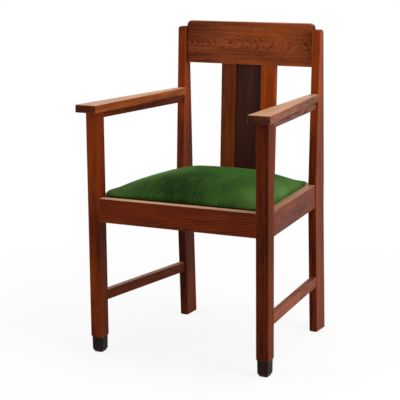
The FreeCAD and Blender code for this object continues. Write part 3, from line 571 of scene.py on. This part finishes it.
# %% [markdown]
# ## Velvet
#
# Velvet is a short pile. Where it leans towards the eye it looks dark, and where it has been brushed the
# other way it shines, so a used seat is full of soft patches and streaks that run from front to back. The
# patches are noise in the cloth's own plane, drawn out along the brushing. Light and shade are painted on
# top: a dark patch left of the middle is painted shade, the flanks are painted paler as painted sheen, most
# of all on the left towards the back, and a dark line along the front of the base is a painted shadow. The
# light along every rounded edge comes from the shader's sheen, which is what a layer of tiny fibres does.

# %% Velvet finish
# Middle of a painted dark patch (painted shade), and the stretch over which it fades
DARK_PATCH_MIDDLE = -0.07, -0.13
DARK_PATCH_REACH = 0.02, 0.22
# Stretches over which the flanks, and a band on the left towards the back, are painted paler as painted
# sheen
SHEEN_LEFT = -0.25, -0.1
SHEEN_RIGHT = 0.12, 0.26
SHEEN_BAND_LEFT = -0.26, -0.03
SHEEN_BAND_REAR = -0.19, 0.01
DARK_NAP, LIGHT_NAP = paint(20, 39, 10), paint(47, 80, 27)
SHEEN_NAP, SHEEN_BAND_NAP = paint(88, 122, 62), paint(136, 168, 98)
PALE_THREAD, SHADOW_LINE_NAP = paint(100, 128, 60), paint(14, 16, 8)
NAP_SLANT = 0.05
# Half height and front end of a painted shadow line along the base of the pad
SHADOW_LINE_REACH = 0.003
SHADOW_LINE_FRONT = -0.2, -0.18
RAIL_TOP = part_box("front_seat_rail")[1].z


def velvet():
    """Green velvet, brushed from front to back, with painted sheen on its flanks and painted shade and
    shadow.
    """
    material, finish = new_material("green_velvet")
    x, y, z = finish.place()
    slope = x + y * NAP_SLANT
    patches = finish.noise((slope * 12, y * 9, z * 6), detail=3.0).over(0.3, 0.7)
    brushed = finish.noise((slope * 260, y * 14, z * 12), detail=3.0).over(0.3, 0.7)
    threads = finish.noise((slope * 700, y * 22, 0.0), detail=1.0).over(0.62, 0.74)
    pile = finish.noise((x * 1500, y * 1500, z * 1500), detail=1.0)
    # painted shade: a dark patch left of the middle, where the front slope turns away from the light
    from_left, from_front = x - DARK_PATCH_MIDDLE[0], y - DARK_PATCH_MIDDLE[1]
    outside_dark_patch = ((from_left * from_left + from_front * from_front) ** 0.5).over(*DARK_PATCH_REACH)
    light = outside_dark_patch * 0.45 + patches * 0.4 + brushed * 0.15
    nap = finish.mix(DARK_NAP, LIGHT_NAP, light.over(0.1, 0.95))
    # painted sheen: both flanks are painted paler, for the light the pile catches there
    painted_sheen_flanks = 1 - x.over(*SHEEN_LEFT) + x.over(*SHEEN_RIGHT) * 1.15
    swept = finish.mix(nap, SHEEN_NAP, painted_sheen_flanks * (patches * 0.5 + 0.4))
    # painted sheen: a pale band on the left towards the back, where the pile catches light at a grazing
    # angle
    sheen_band = (1 - x.over(*SHEEN_BAND_LEFT)) * y.over(*SHEEN_BAND_REAR) * (patches * 0.55 + 0.4)
    swept = finish.mix(swept, SHEEN_BAND_NAP, sheen_band)
    threaded = finish.mix(swept, PALE_THREAD, threads * 0.36)
    # painted shadow: a near-black line along the front of the pad's base, for the shade under its bulge
    shadow_line = (1 - (abs(z - RAIL_TOP) / SHADOW_LINE_REACH).over(0.6, 1.2)) * (1 - y.over(*SHADOW_LINE_FRONT))
    finish.principled({
        "Base Color": finish.mix(threaded, SHADOW_LINE_NAP, shadow_line),
        "Roughness": pile * 0.1 + 0.8,
        "Normal": finish.bump(pile + brushed * 0.6, depth=0.0004),
        "Specular IOR Level": 0.05,
        "Sheen Weight": 0.2,
        "Sheen Roughness": 0.35,
        "Sheen Tint": paint(120, 195, 80),
    })
    return material


green_velvet = velvet()
print("velvet:", len(green_velvet.node_tree.nodes), "nodes")

# %% [markdown]
# ## The pad
#
# The pad could be drawn as a smooth dome, but stretched cloth has its own way of lying: full in the middle,
# tight along the edges. So the stuffing's solid is remeshed into even faces and padded out by the cloth's
# thickness. Its corners are filled and drawn out, as an upholsterer pulls them. Then it is blown up gently
# as a cloth bag, with its lower rim held where the seat frame holds the real one. A cap keeps any point
# from moving further than the pull of the cloth would.

# %% Blow up the pad
EVEN_FACE = 0.0045
HELD_ABOVE_RAIL = 0.0005
CLOTH = 0.0012
TUCK = 0.0025
TUCK_HEIGHT = 0.005
FRONT_FULLNESS = 0.005
CORNER_REACH = 0.075
CORNER_SLICE = 0.04
FRONT_DRAW, REAR_DRAW = (0.0045, 0.001), (0.008, 0.0055)
DRAW_REACH = 0.03
SWELL_PRESSURE = 4.0
SWELL_FRAMES = 20
SWELL_CAP = 0.0014


def soft_step(share):
    """Climbs smoothly from 0 to 1, for numbers and arrays."""
    share = np.clip(share, 0, 1)
    return share * share * (3 - 2 * share)


def to_corners(places):
    """Each point's distance, in plan, from the nearest corner of the seat."""
    front, rear = places[:, 1].min(), places[:, 1].max()
    halves = [places[abs(places[:, 1] - y) < CORNER_SLICE, 0].max() for y in (front, rear)]
    corners = [(side * half, y) for half, y in zip(halves, (front, rear)) for side in (-1, 1)]
    gaps = [np.linalg.norm(places[:, :2] - corner, axis=1, keepdims=True) for corner in corners]
    return np.min(gaps, axis=0)


def pad_out(mesh):
    """Moves all points out by the cloth's thickness, tucks the lower edge in and draws the corners out."""
    places = corners_of(mesh)
    outwards = np.array([vertex.normal for vertex in mesh.vertices])
    rests = np.clip(-outwards[:, 2:], 0, 1)
    up = soft_step((places[:, 2:] - RAIL_TOP) / TUCK_HEIGHT)
    depth = CLOTH - TUCK * (1 - up)
    padded = places + outwards * depth * (1 - rests)
    fullness = np.where(places[:, 1:2] < 0, FRONT_FULLNESS, 0)
    gap = to_corners(places)
    padded[:, 2:] += fullness * up * (1 - soft_step(gap / CORNER_REACH))
    drawn = 1 - soft_step(gap / DRAW_REACH)
    draw = np.where(places[:, 1:2] < 0, FRONT_DRAW, REAR_DRAW) * np.sign(places[:, :2])
    padded[:, :2] += draw * drawn * up
    mesh.vertices.foreach_set("co", padded.ravel())


def hold_below(holder, height):
    """Pins every point under a height, and returns the name of the group that does it."""
    group = holder.vertex_groups.new(name="held")
    held = [vertex.index for vertex in holder.data.vertices if vertex.co.z < height]
    group.add(held, 1.0, "REPLACE")
    return group.name


def swell(holder, held):
    """Runs the cloth and moves the mesh's points where it took them, but no further than the cap."""
    before = corners_of(holder.data)
    bag = holder.modifiers.new("bag", "CLOTH")
    bag.settings.quality = 6
    bag.settings.mass = 0.3
    bag.settings.use_pressure = True
    bag.settings.uniform_pressure_force = SWELL_PRESSURE
    bag.settings.effector_weights.gravity = 0
    bag.settings.vertex_group_mass = held
    for step in range(1, SWELL_FRAMES + 1):
        bpy.context.scene.frame_set(step)
    moved = corners_of(settled(holder)) - before
    holder.modifiers.remove(bag)
    bpy.context.scene.frame_set(1)
    reach = np.linalg.norm(moved, axis=1, keepdims=True)
    moved *= np.minimum(1, SWELL_CAP / np.maximum(reach, 1e-9))
    holder.data.vertices.foreach_set("co", (before + moved).ravel())
    print(f"pad swelled by up to {np.linalg.norm(moved, axis=1).max() * 1000:.1f} mm")


def blown_pad():
    """The crowned pad as an even, swollen mesh."""
    holder = put("pad", nodes["seat_stuffing"].data.copy())
    even = holder.modifiers.new("even", "REMESH")
    even.mode = "VOXEL"
    even.voxel_size = EVEN_FACE
    holder.data = settled(holder)
    holder.modifiers.remove(even)
    pad_out(holder.data)
    held = hold_below(holder, RAIL_TOP + HELD_ABOVE_RAIL)
    swell(holder, held)
    softer = holder.modifiers.new("softer", "SMOOTH")
    softer.iterations = 2
    softer.vertex_group = held
    softer.invert_vertex_group = True
    finer = holder.modifiers.new("finer", "SUBSURF")
    finer.levels = 1
    mesh = settled(holder)
    bpy.data.objects.remove(holder)
    return mesh


pad_mesh = blown_pad()
print(f"pad: {len(pad_mesh.polygons)} faces")

# %% [markdown]
# ## The hem
#
# Below the rails the velvet goes down the sides of the seat frame, turns under it and is tacked there. The
# band follows the seat's own rim, which is read from the solid by cutting it with a level plane. From each
# point of the rim it runs down, round the bottom edge and in towards the nearest point of the opening, and
# its last edge wanders a little, as scissors leave it.

# %% The rim of the seat
RIM_STEP = 0.004
SAME_PLACE = 1e-6


def rim_points(node, height):
    """The outer edge of a solid at a height, as evenly spaced points in order."""
    cut = bmesh.new()
    cut.from_mesh(nodes[node].data)
    bmesh.ops.remove_doubles(cut, verts=cut.verts, dist=SAME_PLACE)
    bmesh.ops.bisect_plane(cut, geom=[*cut.verts, *cut.edges, *cut.faces], plane_co=(0, 0, height),
                           plane_no=(0, 0, 1), clear_inner=True, clear_outer=True)
    bmesh.ops.remove_doubles(cut, verts=cut.verts, dist=SAME_PLACE)
    start = max(cut.verts, key=lambda vertex: vertex.co.x)
    edge = max(start.link_edges, key=lambda near: near.other_vert(start).co.y)
    here = edge.other_vert(start)
    loop = [start.co.to_2d()]
    while here != start:
        loop.append(here.co.to_2d())
        edge = next(near for near in here.link_edges if near != edge)
        here = edge.other_vert(here)
    cut.free()
    rim = np.array(loop + loop[:1])
    walked = np.concatenate([[0], np.cumsum(np.linalg.norm(np.diff(rim, axis=0), axis=1))])
    steps = np.linspace(0, walked[-1], round(walked[-1] / RIM_STEP), endpoint=False)
    return np.stack([np.interp(steps, walked, rim[:, axis]) for axis in (0, 1)], axis=1)


SEAT_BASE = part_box("seat_cover")[0].z
rim = rim_points("seat_cover", (SEAT_BASE + RAIL_TOP) / 2)
print(f"rim: {len(rim)} points round the seat")

# %% [markdown]
# ## From hem to cushion
#
# The hem could be a copy of the solid with a modifier to thicken it, but its turned-in lip under the pad
# and its uneven cut would then be hard to place. One profile carried round the rim gives both, and a closed
# band as well. Hem and pad are one piece of velvet on the real seat, so they share one mesh here.

# %% Hem and cushion
HEM = 0.028
HEM_WAVE = 0.0012
HEM_WAVES = 23
HEM_DRIFT = 0.13
HEM_THICKNESS = 0.0013
BOTTOM_ROUND = 0.0025
ROUND_MIDDLE = 0.3 * BOTTOM_ROUND
SEAM_LIP = 0.006
SEAM_ROUND = 0.001


def hem_opening():
    """Corners of the opening that the hem leaves under the seat, which narrows to the rear like the seat."""
    front, rear = rim[:, 1].min() + HEM, rim[:, 1].max() - HEM
    side = rim[(rim[:, 0] > 0) & (rim[:, 1] > front + HEM) & (rim[:, 1] < rear)]
    lean, foot = np.polyfit(side[:, 1], side[:, 0], 1)
    half_front, half_rear = (foot + lean * y - HEM for y in (front, rear))
    return np.array([(half_front, front), (half_rear, rear), (-half_rear, rear), (-half_front, front)])


def nearest_on(corners, point):
    """The nearest point to a place on the edge of a flat shape with straight sides."""
    found = []
    for start, end in zip(corners, np.roll(corners, -1, axis=0)):
        run = end - start
        share = np.clip((point - start) @ run / (run @ run), 0, 1)
        found.append(start + run * share)
    return min(found, key=lambda place: np.linalg.norm(place - point))


def bridge(build, row, following):
    """The faces between two closed rows of points."""
    pairs = list(zip(row, following))
    return [build.faces.new((near, far, far_next, near_next))
            for (near, near_next), (far, far_next) in zip(pairs, pairs[1:] + pairs[:1])]


def hem(build):
    """Adds the closed band of cloth that goes down from the rim and in under the frame."""
    opening = hem_opening()
    hem_top, lip_base = SEAT_BASE + HEM_THICKNESS, RAIL_TOP - HEM_THICKNESS
    rows = []
    for index, point in enumerate(rim):
        inwards = nearest_on(opening, point) - point
        reach = np.linalg.norm(inwards)
        wave = HEM_WAVE * math.sin(index / len(rim) * HEM_WAVES * math.tau) * math.cos(index * HEM_DRIFT)
        edge = reach + wave
        profile = [
            (SEAM_LIP, RAIL_TOP), (SEAM_ROUND, RAIL_TOP), (0, RAIL_TOP - SEAM_ROUND),
            (0, (SEAT_BASE + RAIL_TOP) / 2), (0, SEAT_BASE + BOTTOM_ROUND),
            (ROUND_MIDDLE, SEAT_BASE + ROUND_MIDDLE), (BOTTOM_ROUND, SEAT_BASE),
            (edge / 2, SEAT_BASE), (edge, SEAT_BASE), (edge, hem_top), (edge / 2, hem_top),
            (HEM_THICKNESS, hem_top), (HEM_THICKNESS, lip_base), (SEAM_LIP, lip_base),
        ]
        turned_in = [(*(point + inwards / reach * depth), height) for depth, height in profile]
        rows.append([build.verts.new(place) for place in turned_in])
    for row, following in zip(rows, rows[1:] + rows[:1]):
        bridge(build, row, following)


def cushion_mesh():
    """The hem and the pad in one mesh."""
    build = bmesh.new()
    hem(build)
    bmesh.ops.recalc_face_normals(build, faces=build.faces)
    build.from_mesh(pad_mesh)
    return mesh_of(build, "velvet_cushion")


cushion = add_piece("velvet_cushion", cushion_mesh(), green_velvet)
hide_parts("seat_cover", "seat_stuffing")
print(f"cushion: {len(cushion.data.polygons)} faces")

# %% [markdown]
# ## Jute straps
#
# Under the stuffing a net of straps carries the sitter. Each goes over one crossing and under the next. The
# plain solids turn sharply there; woven jute can't, so each strap is swept again along the same line with a
# soft ramp at every crossing. Its points carry their own place on the strap, along and across in metres, so
# that the weave and the dark marker threads follow the strap whichever way it runs.

# %% Strap shapes
STRAP_PARTS = 90
STRAP_RAMP = 0.016
STRAP_ACROSS = np.linspace(-1, 1, 11)
SELVEDGE = 0.35
SELVEDGE_POWER = 8


def separate_boxes(name):
    """Low and high corners of each separate solid in a group of like ones, in order across the seat."""
    build = bmesh.new()
    build.from_mesh(nodes[name].data)
    bmesh.ops.remove_doubles(build, verts=build.verts, dist=SAME_PLACE)
    waiting = set(build.verts)
    boxes = []
    while waiting:
        front = [waiting.pop()]
        piece = []
        while front:
            vertex = front.pop()
            piece.append(vertex.co[:])
            near = {edge.other_vert(vertex) for edge in vertex.link_edges} & waiting
            waiting -= near
            front += near
        boxes.append((np.min(piece, axis=0), np.max(piece, axis=0)))
    build.free()
    return sorted(boxes, key=lambda box: tuple(np.round((box[0] + box[1])[:2], 4)))


def climb(along, crossings, half_width):
    """From 0 to 1: how far a strap has climbed over the crossings that it passes on top of."""
    heights = [0.0]
    for middle in crossings:
        heights.append(soft_step(1 - (abs(along - middle) - half_width) / STRAP_RAMP))
    return max(heights)


def strap(build, box, lengthwise, crossings):
    """Adds one closed woven strap, along Y if lengthwise and along X if not."""
    low, high = box
    run, side = (1, 0) if lengthwise else (0, 1)
    half = (high[side] - low[side]) / 2
    middle = (high[side] + low[side]) / 2
    thickness = (high[2] - low[2]) / (2 if crossings else 1)
    spots = build.loops.layers.uv.verify()
    rings = []
    for along in np.linspace(low[run], high[run], STRAP_PARTS):
        base = low[2] + thickness * climb(along, crossings, half)
        ring = []
        for upper in (0, 1):
            for across in STRAP_ACROSS if upper else STRAP_ACROSS[::-1]:
                thin = 1 - SELVEDGE * across ** SELVEDGE_POWER
                height = base + thickness * (0.5 + (upper - 0.5) * thin)
                spot = [0.0, 0.0, height]
                spot[run], spot[side] = along, middle + across * half
                ring.append(build.verts.new(spot))
        rings.append(ring)
    faces = [build.faces.new(rings[0]), build.faces.new(rings[-1])]
    for ring, following in zip(rings, rings[1:]):
        faces += bridge(build, ring, following)
    for loop in (loop for face in faces for loop in face.loops):
        loop[spots].uv = loop.vert.co[side] - middle, loop.vert.co[run]


print(f"each strap is swept in {STRAP_PARTS} parts")

# %% [markdown]
# ## Jute finish
#
# Jute yarn is coarse and never quite even. The weave is two rows of rounded threads at right angles, one of
# them on top in every other square, and the height of the threads gives both the relief and a painted shade
# in the gaps between them.

# %% Jute
JUTE_THREAD = 0.0022
MARKER_PLACE = 0.017
DARK_JUTE, PALE_JUTE = paint(126, 94, 58), paint(186, 150, 102)
MARKER, PAINTED_GAP_SHADE = paint(84, 40, 28), paint(60, 42, 26)


def weave(across, along, thread):
    """Height of a plain weave: threads one way and the other lie on top by turns."""
    columns, rows = across / thread, along / thread
    one_way = abs((columns * math.pi).sine())
    other_way = abs((rows * math.pi).sine())
    turn = ((columns.whole() + rows.whole()) / 2).part() * 2
    return one_way * turn + other_way * (1 - turn)


def jute(name, marked):
    """Woven jute; a marked one has dark marker threads near both edges."""
    material, finish = new_material(name)
    across, along = finish.parts(finish.node("ShaderNodeUVMap"), "XY")
    threads = weave(across, along, JUTE_THREAD)
    yarn = finish.noise((across * 60, along * 60, 0.0), detail=3.0).over(0.3, 0.7)
    fuzz = finish.noise((across * 1800, along * 1800, 0.0), detail=2.0)
    colour = finish.mix(DARK_JUTE, PALE_JUTE, yarn * 0.6 + threads * 0.4)
    if marked:
        stripe = 1 - (abs(abs(across) - marked) / JUTE_THREAD).over(0.9, 1.3)
        colour = finish.mix(colour, MARKER, stripe * 0.85)
    # painted shade: the low places between the threads are painted dark
    finish.principled({
        "Base Color": finish.mix(PAINTED_GAP_SHADE, colour, threads.over(0.0, 0.5)),
        "Roughness": fuzz * 0.15 + 0.78,
        "Normal": finish.bump(threads + fuzz * 0.3, depth=0.0006),
        "Specular IOR Level": 0.1,
    })
    return material


strap_jute = jute("jute_webbing", MARKER_PLACE)
hessian_jute = jute("hessian", None)
print("jute:", strap_jute.name, "and", hessian_jute.name)

# %% [markdown]
# ## Weaving the net
#
# The straps could be placed one by one, but their order says everything: a lengthwise strap goes over the
# crossings whose number, added to its own, is even, and a crosswise strap over the others. So each strap is
# told only which crossings it climbs.

# %% Weave the net
lengthwise_boxes = separate_boxes("webbing_lengthwise")
crosswise_boxes = separate_boxes("webbing_crosswise")
lengthwise_middles = [(low[0] + high[0]) / 2 for low, high in lengthwise_boxes]
crosswise_middles = [(low[1] + high[1]) / 2 for low, high in crosswise_boxes]


def strap_piece(name, boxes, middles, lengthwise):
    """One piece of like straps, each over every other crossing, starting with its own number."""
    build = bmesh.new()
    passes_over = 0 if lengthwise else 1
    for number, box in enumerate(boxes):
        crossings = [
            middle for order, middle in enumerate(middles) if (order + number) % 2 == passes_over]
        strap(build, box, lengthwise, crossings)
    bmesh.ops.recalc_face_normals(build, faces=build.faces)
    return add_piece(name, mesh_of(build, name), strap_jute)


straps_lengthwise = strap_piece("jute_straps_lengthwise", lengthwise_boxes, crosswise_middles, True)
straps_crosswise = strap_piece("jute_straps_crosswise", crosswise_boxes, lengthwise_middles, False)
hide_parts("webbing_lengthwise")
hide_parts("webbing_crosswise")
print(f"straps: {len(lengthwise_boxes)} lengthwise, {len(crosswise_boxes)} crosswise")

# %% [markdown]
# ## Hessian
#
# A sheet of hessian lies on the straps and keeps the stuffing from falling through. It is stretched, but
# not quite flat: it dips a hair between the straps. It is cut as a trapezium, like the seat.

# %% Hessian sheet
HESSIAN_PARTS = 60
HESSIAN_CLOTH = 0.0006
HESSIAN_DIP = 0.0002
DIPS_ACROSS, DIPS_ALONG = 73, 63


def hessian_mesh():
    """The sheet, with its front width, its rear width and its length."""
    low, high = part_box("seat_hessian")
    corners = corners_of(nodes["seat_hessian"].data)
    halves = [corners[abs(corners[:, 1] - y) < 1e-4, 0].max() for y in (low.y, high.y)]
    build = bmesh.new()
    spots = build.loops.layers.uv.verify()
    shares = np.linspace(0, 1, HESSIAN_PARTS)
    rows = []
    for along in shares:
        half = halves[0] + (halves[1] - halves[0]) * along
        row = []
        for across in shares * 2 - 1:
            x, y = across * half, low.y + (high.y - low.y) * along
            dip = HESSIAN_DIP * (1 + math.sin(x * DIPS_ACROSS) * math.sin(y * DIPS_ALONG))
            row.append(build.verts.new((x, y, high.z - HESSIAN_DIP - dip)))
        rows.append(row)
    for row, following in zip(rows, rows[1:]):
        for near in range(HESSIAN_PARTS - 1):
            face = build.faces.new((row[near], row[near + 1], following[near + 1], following[near]))
            for loop in face.loops:
                loop[spots].uv = loop.vert.co.to_2d()
    bmesh.ops.solidify(build, geom=build.faces[:], thickness=HESSIAN_CLOTH)
    bmesh.ops.recalc_face_normals(build, faces=build.faces)
    return mesh_of(build, "hessian_sheet"), 2 * halves[0], 2 * halves[1], high.y - low.y


hessian_cloth, hessian_front, hessian_rear, hessian_length = hessian_mesh()
hessian = add_piece("hessian_sheet", hessian_cloth, hessian_jute)
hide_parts("seat_hessian")
(hessian_front + hessian_rear) / 2 * hessian_length
print(f"hessian: {hessian_front * 1000:.0f} mm wide, {hessian_length * 1000:.0f} mm long")

# %% [markdown]
# ## Tacks and screws
#
# Tacks hold the hem under the seat, and two slotted screws go through each corner block into the rails.
# Both are turned shapes: a profile is spun round an axis, and the screws get a slot pushed into the head.

# %% Turned fasteners
TACK_PROFILE = (0.0, 0.0009), (0.0016, 0.0008), (0.0029, 0.0004), (0.0033, 0.0)
SCREW_PROFILE = (0.0, 0.0016), (0.0022, 0.0015), (0.0037, 0.0009), (0.0044, 0.0)
TURNED_SIDES = 20
SLOT_HALF = 0.00055
SLOT_DEPTH = 0.0009
SLOT_FLOOR = 0.0001


def turned(profile):
    """A small dome on the plane z = 0; the profile gives its radius and height from the middle outwards."""
    build = bmesh.new()
    top = build.verts.new((0, 0, profile[0][1]))
    rings = []
    angles = [math.tau * side / TURNED_SIDES for side in range(TURNED_SIDES)]
    for radius, height in profile[1:]:
        spots = [(radius * math.cos(angle), radius * math.sin(angle), height) for angle in angles]
        rings.append([build.verts.new(spot) for spot in spots])
    for near, far in zip(rings[0], rings[0][1:] + rings[0][:1]):
        build.faces.new((top, near, far))
    for inner, outer in zip(rings, rings[1:]):
        bridge(build, outer, inner)
    build.faces.new(rings[-1][::-1])
    return build


def slotted(head):
    """Pushes a screwdriver slot into a turned head."""
    for side in (1, -1):
        bmesh.ops.bisect_plane(head, geom=[*head.verts, *head.edges, *head.faces],
                               plane_co=(0, side * SLOT_HALF, 0), plane_no=(0, 1, 0))
    middles = {face: face.calc_center_median() for face in head.faces}
    slot = [face for face, middle in middles.items()
            if abs(middle.y) < SLOT_HALF and middle.z > 0 and face.normal.z > 0]
    pushed = bmesh.ops.extrude_face_region(head, geom=slot)["geom"]
    for vertex in pushed:
        if isinstance(vertex, bmesh.types.BMVert):
            vertex.co.z = max(vertex.co.z - SLOT_DEPTH, SLOT_FLOOR)
    return head


def copies(shape, places):
    """Many copies of a small shape, which is used up, as one bmesh."""
    pattern = mesh_of(shape, "pattern")
    build = bmesh.new()
    for place in places:
        first = len(build.verts)
        build.from_mesh(pattern)
        build.verts.ensure_lookup_table()
        bmesh.ops.transform(build, matrix=place, verts=build.verts[first:])
    bpy.data.meshes.remove(pattern)
    return build


print(f"heads: tacks {TACK_PROFILE[-1][0] * 2000:.1f} mm, screws {SCREW_PROFILE[-1][0] * 2000:.1f} mm")

# %% [markdown]
# ## Dull steel
#
# Old tacks and screws are grey with brown spots. Rust is no metal, so the spots lower the metallic value as
# well as change the colour.

# %% Steel finish
STEEL, RUST = paint(150, 146, 140), paint(96, 62, 40)


def dull_steel():
    """Dull steel with spots of rust."""
    material, finish = new_material("dull_steel")
    x, y, z = finish.place()
    spots = finish.noise((x * 900, y * 900, z * 900), detail=3.0).over(0.45, 0.7)
    finish.principled({
        "Base Color": finish.mix(STEEL, RUST, spots * 0.7),
        "Metallic": 1 - spots * 0.8,
        "Roughness": spots * 0.3 + 0.38,
        "Normal": finish.bump(spots, depth=0.0001),
    })
    return material


steel = dull_steel()
print("steel:", steel.name)

# %% [markdown]
# ## Tacks
#
# The tacks go round the hem at even steps, a little in from its cut edge. A tack over a corner block would
# keep the seat from lying flat, so those places stay free.

# %% Tacks under the hem
TACK_STEP = 9
TACK_FROM_EDGE = 0.01
BLOCK_ROOM = 0.005


def near_block(point):
    """Whether a place under the seat is on or beside a corner block."""
    for name in CORNER_BLOCKS:
        low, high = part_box(name)
        if (low.x - BLOCK_ROOM < point[0] < high.x + BLOCK_ROOM
                and low.y - BLOCK_ROOM < point[1] < high.y + BLOCK_ROOM):
            return True
    return False


def tack_places():
    """Where tacks go through the hem, head down, clear of the corner blocks."""
    opening = hem_opening()
    for point in rim[::TACK_STEP]:
        edge = nearest_on(opening, point)
        spot = edge + (point - edge) / np.linalg.norm(point - edge) * TACK_FROM_EDGE
        if not near_block(spot):
            yield Matrix.Translation((*spot, SEAT_BASE)) @ Matrix.Rotation(math.pi, 4, "X")


tacks_built = copies(turned(TACK_PROFILE), tack_places())
tacks = add_piece("hem_tacks", mesh_of(tacks_built, "hem_tacks"), steel)
print(f"tacks: {len(tacks.data.polygons)} faces")

# %% [markdown]
# ## Screws
#
# Each corner block has one long slanting face, and the screws sit on it, one towards each rail. The face is
# found on the solid by the way it looks, so that the heads lie flat on it whatever its angle.

# %% Screws through the corner blocks
SCREW_SPREAD = 0.28
UPRIGHT = 0.1
SLANT = 0.3


def long_face(name):
    """Middle, outward and sideways direction, and width of a corner block's slanting face."""
    mesh = nodes[name].data
    slanting = [face for face in mesh.polygons
                if abs(face.normal.z) < UPRIGHT and face.normal.dot(-face.center) > 0
                and min(abs(face.normal.x), abs(face.normal.y)) > SLANT]
    spots = np.array([mesh.vertices[index].co[:] for face in slanting for index in face.vertices])
    outwards = slanting[0].normal.copy()
    sideways = Vector((-outwards.y, outwards.x, 0)).normalized()
    along = spots @ np.array(sideways)
    middle = Vector((spots.min(axis=0) + spots.max(axis=0)) / 2)
    return middle, outwards, sideways, along.max() - along.min()


def screw_places():
    """Two places on each corner block, with the heads looking outwards."""
    for name in CORNER_BLOCKS:
        middle, outwards, sideways, width = long_face(name)
        turn = outwards.to_track_quat("Z", "Y").to_matrix().to_4x4()
        for side in (-1, 1):
            yield Matrix.Translation(middle + sideways * (side * SCREW_SPREAD * width)) @ turn


screws_built = copies(slotted(turned(SCREW_PROFILE)), screw_places())
screws = add_piece("block_screws", mesh_of(screws_built, "block_screws"), steel,
                   body="chair_frame", smooth=False)
print(f"screws: {len(screws.data.polygons)} faces")

# %% [markdown]
# ## Light
#
# One large soft lamp on the right does what a tall window does: it rakes over the right-hand faces, the
# arms and the ledge of the seat. A weaker one from the left front fills the shadows, and one overhead
# separates the crest from the background.

# %% Lamps
SUBJECT = Vector((0, 0, 0.5))


def soft_lamp(name, place, width, height, power):
    """A white panel of light, turned towards the chair."""
    lamp = bpy.data.lights.new(name, "AREA")
    lamp.shape = "RECTANGLE"
    lamp.size = width
    lamp.size_y = height
    lamp.energy = power
    holder = put(name, lamp)
    holder.location = place
    holder.rotation_euler = (SUBJECT - holder.location).to_track_quat("-Z", "Y").to_euler()
    print(f"{name}: {power} W")


soft_lamp("window", Vector((3.0, -0.6, 1.9)), 1.6, 2.4, 62)
soft_lamp("fill", Vector((-2.2, -3.0, 1.6)), 2.0, 2.0, 34)
soft_lamp("overhead", Vector((0.2, 0.5, 3.2)), 2.2, 2.2, 36)

# %% [markdown]
# ## World
#
# The world lights the chair from all round at less than half strength, but rays that show the background
# itself get it at full strength, which is white.

# %% World
AMBIENT = 0.45


def seen_directly(finish):
    """1 for rays that show the background: straight from the camera, mirrored or through glass."""
    rays = [finish.node("ShaderNodeLightPath", output=name)
            for name in ("Is Camera Ray", "Is Glossy Ray", "Is Transmission Ray")]
    return sum(rays[1:], rays[0]).over(0.0, 1.0)


world = bpy.data.worlds.new("studio")
bpy.context.scene.world = world
world.use_nodes = True
sky = Finish(world.node_tree)
brightness = seen_directly(sky) * (1 - AMBIENT) + AMBIENT
glow = sky.node("ShaderNodeBackground", sockets={"Color": (1, 1, 1, 1), "Strength": brightness})
sky.surface(glow, output="ShaderNodeOutputWorld")
print(f"world: {AMBIENT:.0%} of its light reaches the chair")

# %% [markdown]
# ## Floor
#
# The floor is pale and glows for the camera, so that it reads as white paper. Near the feet it keeps enough
# of its own surface to show the chair's soft shadow.

# %% Floor
PAPER = 0.92, 0.92, 0.92, 1
FLOOR_SIZE = 30
FLOOR_DROP = 0.0004
GLOW = 0.85
SHADOW_ENDS = 0.5, 1.7


def paper_floor():
    """White paper that still takes the chair's shadow near its feet."""
    material, finish = new_material("paper_floor")
    x, y, _ = finish.place()
    away = ((x * x + y * y) ** 0.5).over(*SHADOW_ENDS)
    paper = finish.node("ShaderNodeBsdfDiffuse", sockets={"Color": PAPER})
    light = finish.node("ShaderNodeEmission", sockets={"Color": (1, 1, 1, 1), "Strength": 1.0})
    share = (away * (1 - GLOW) + GLOW) * seen_directly(finish)
    finish.surface(finish.node("ShaderNodeMixShader", sockets={0: share, 1: paper, 2: light}))
    return material


floor_build = bmesh.new()
bmesh.ops.create_grid(floor_build, x_segments=1, y_segments=1, size=FLOOR_SIZE / 2)
floor_mesh = mesh_of(floor_build, "floor")
floor_mesh.materials.append(paper_floor())
floor = put("floor", floor_mesh)
floor.location.z = -FLOOR_DROP
print(f"floor: {FLOOR_SIZE} m square")

# %% [markdown]
# ## Finish
#
# The picture is shown as it is, without a film look.

# %% Close
bpy.context.scene.view_settings.view_transform = "Standard"
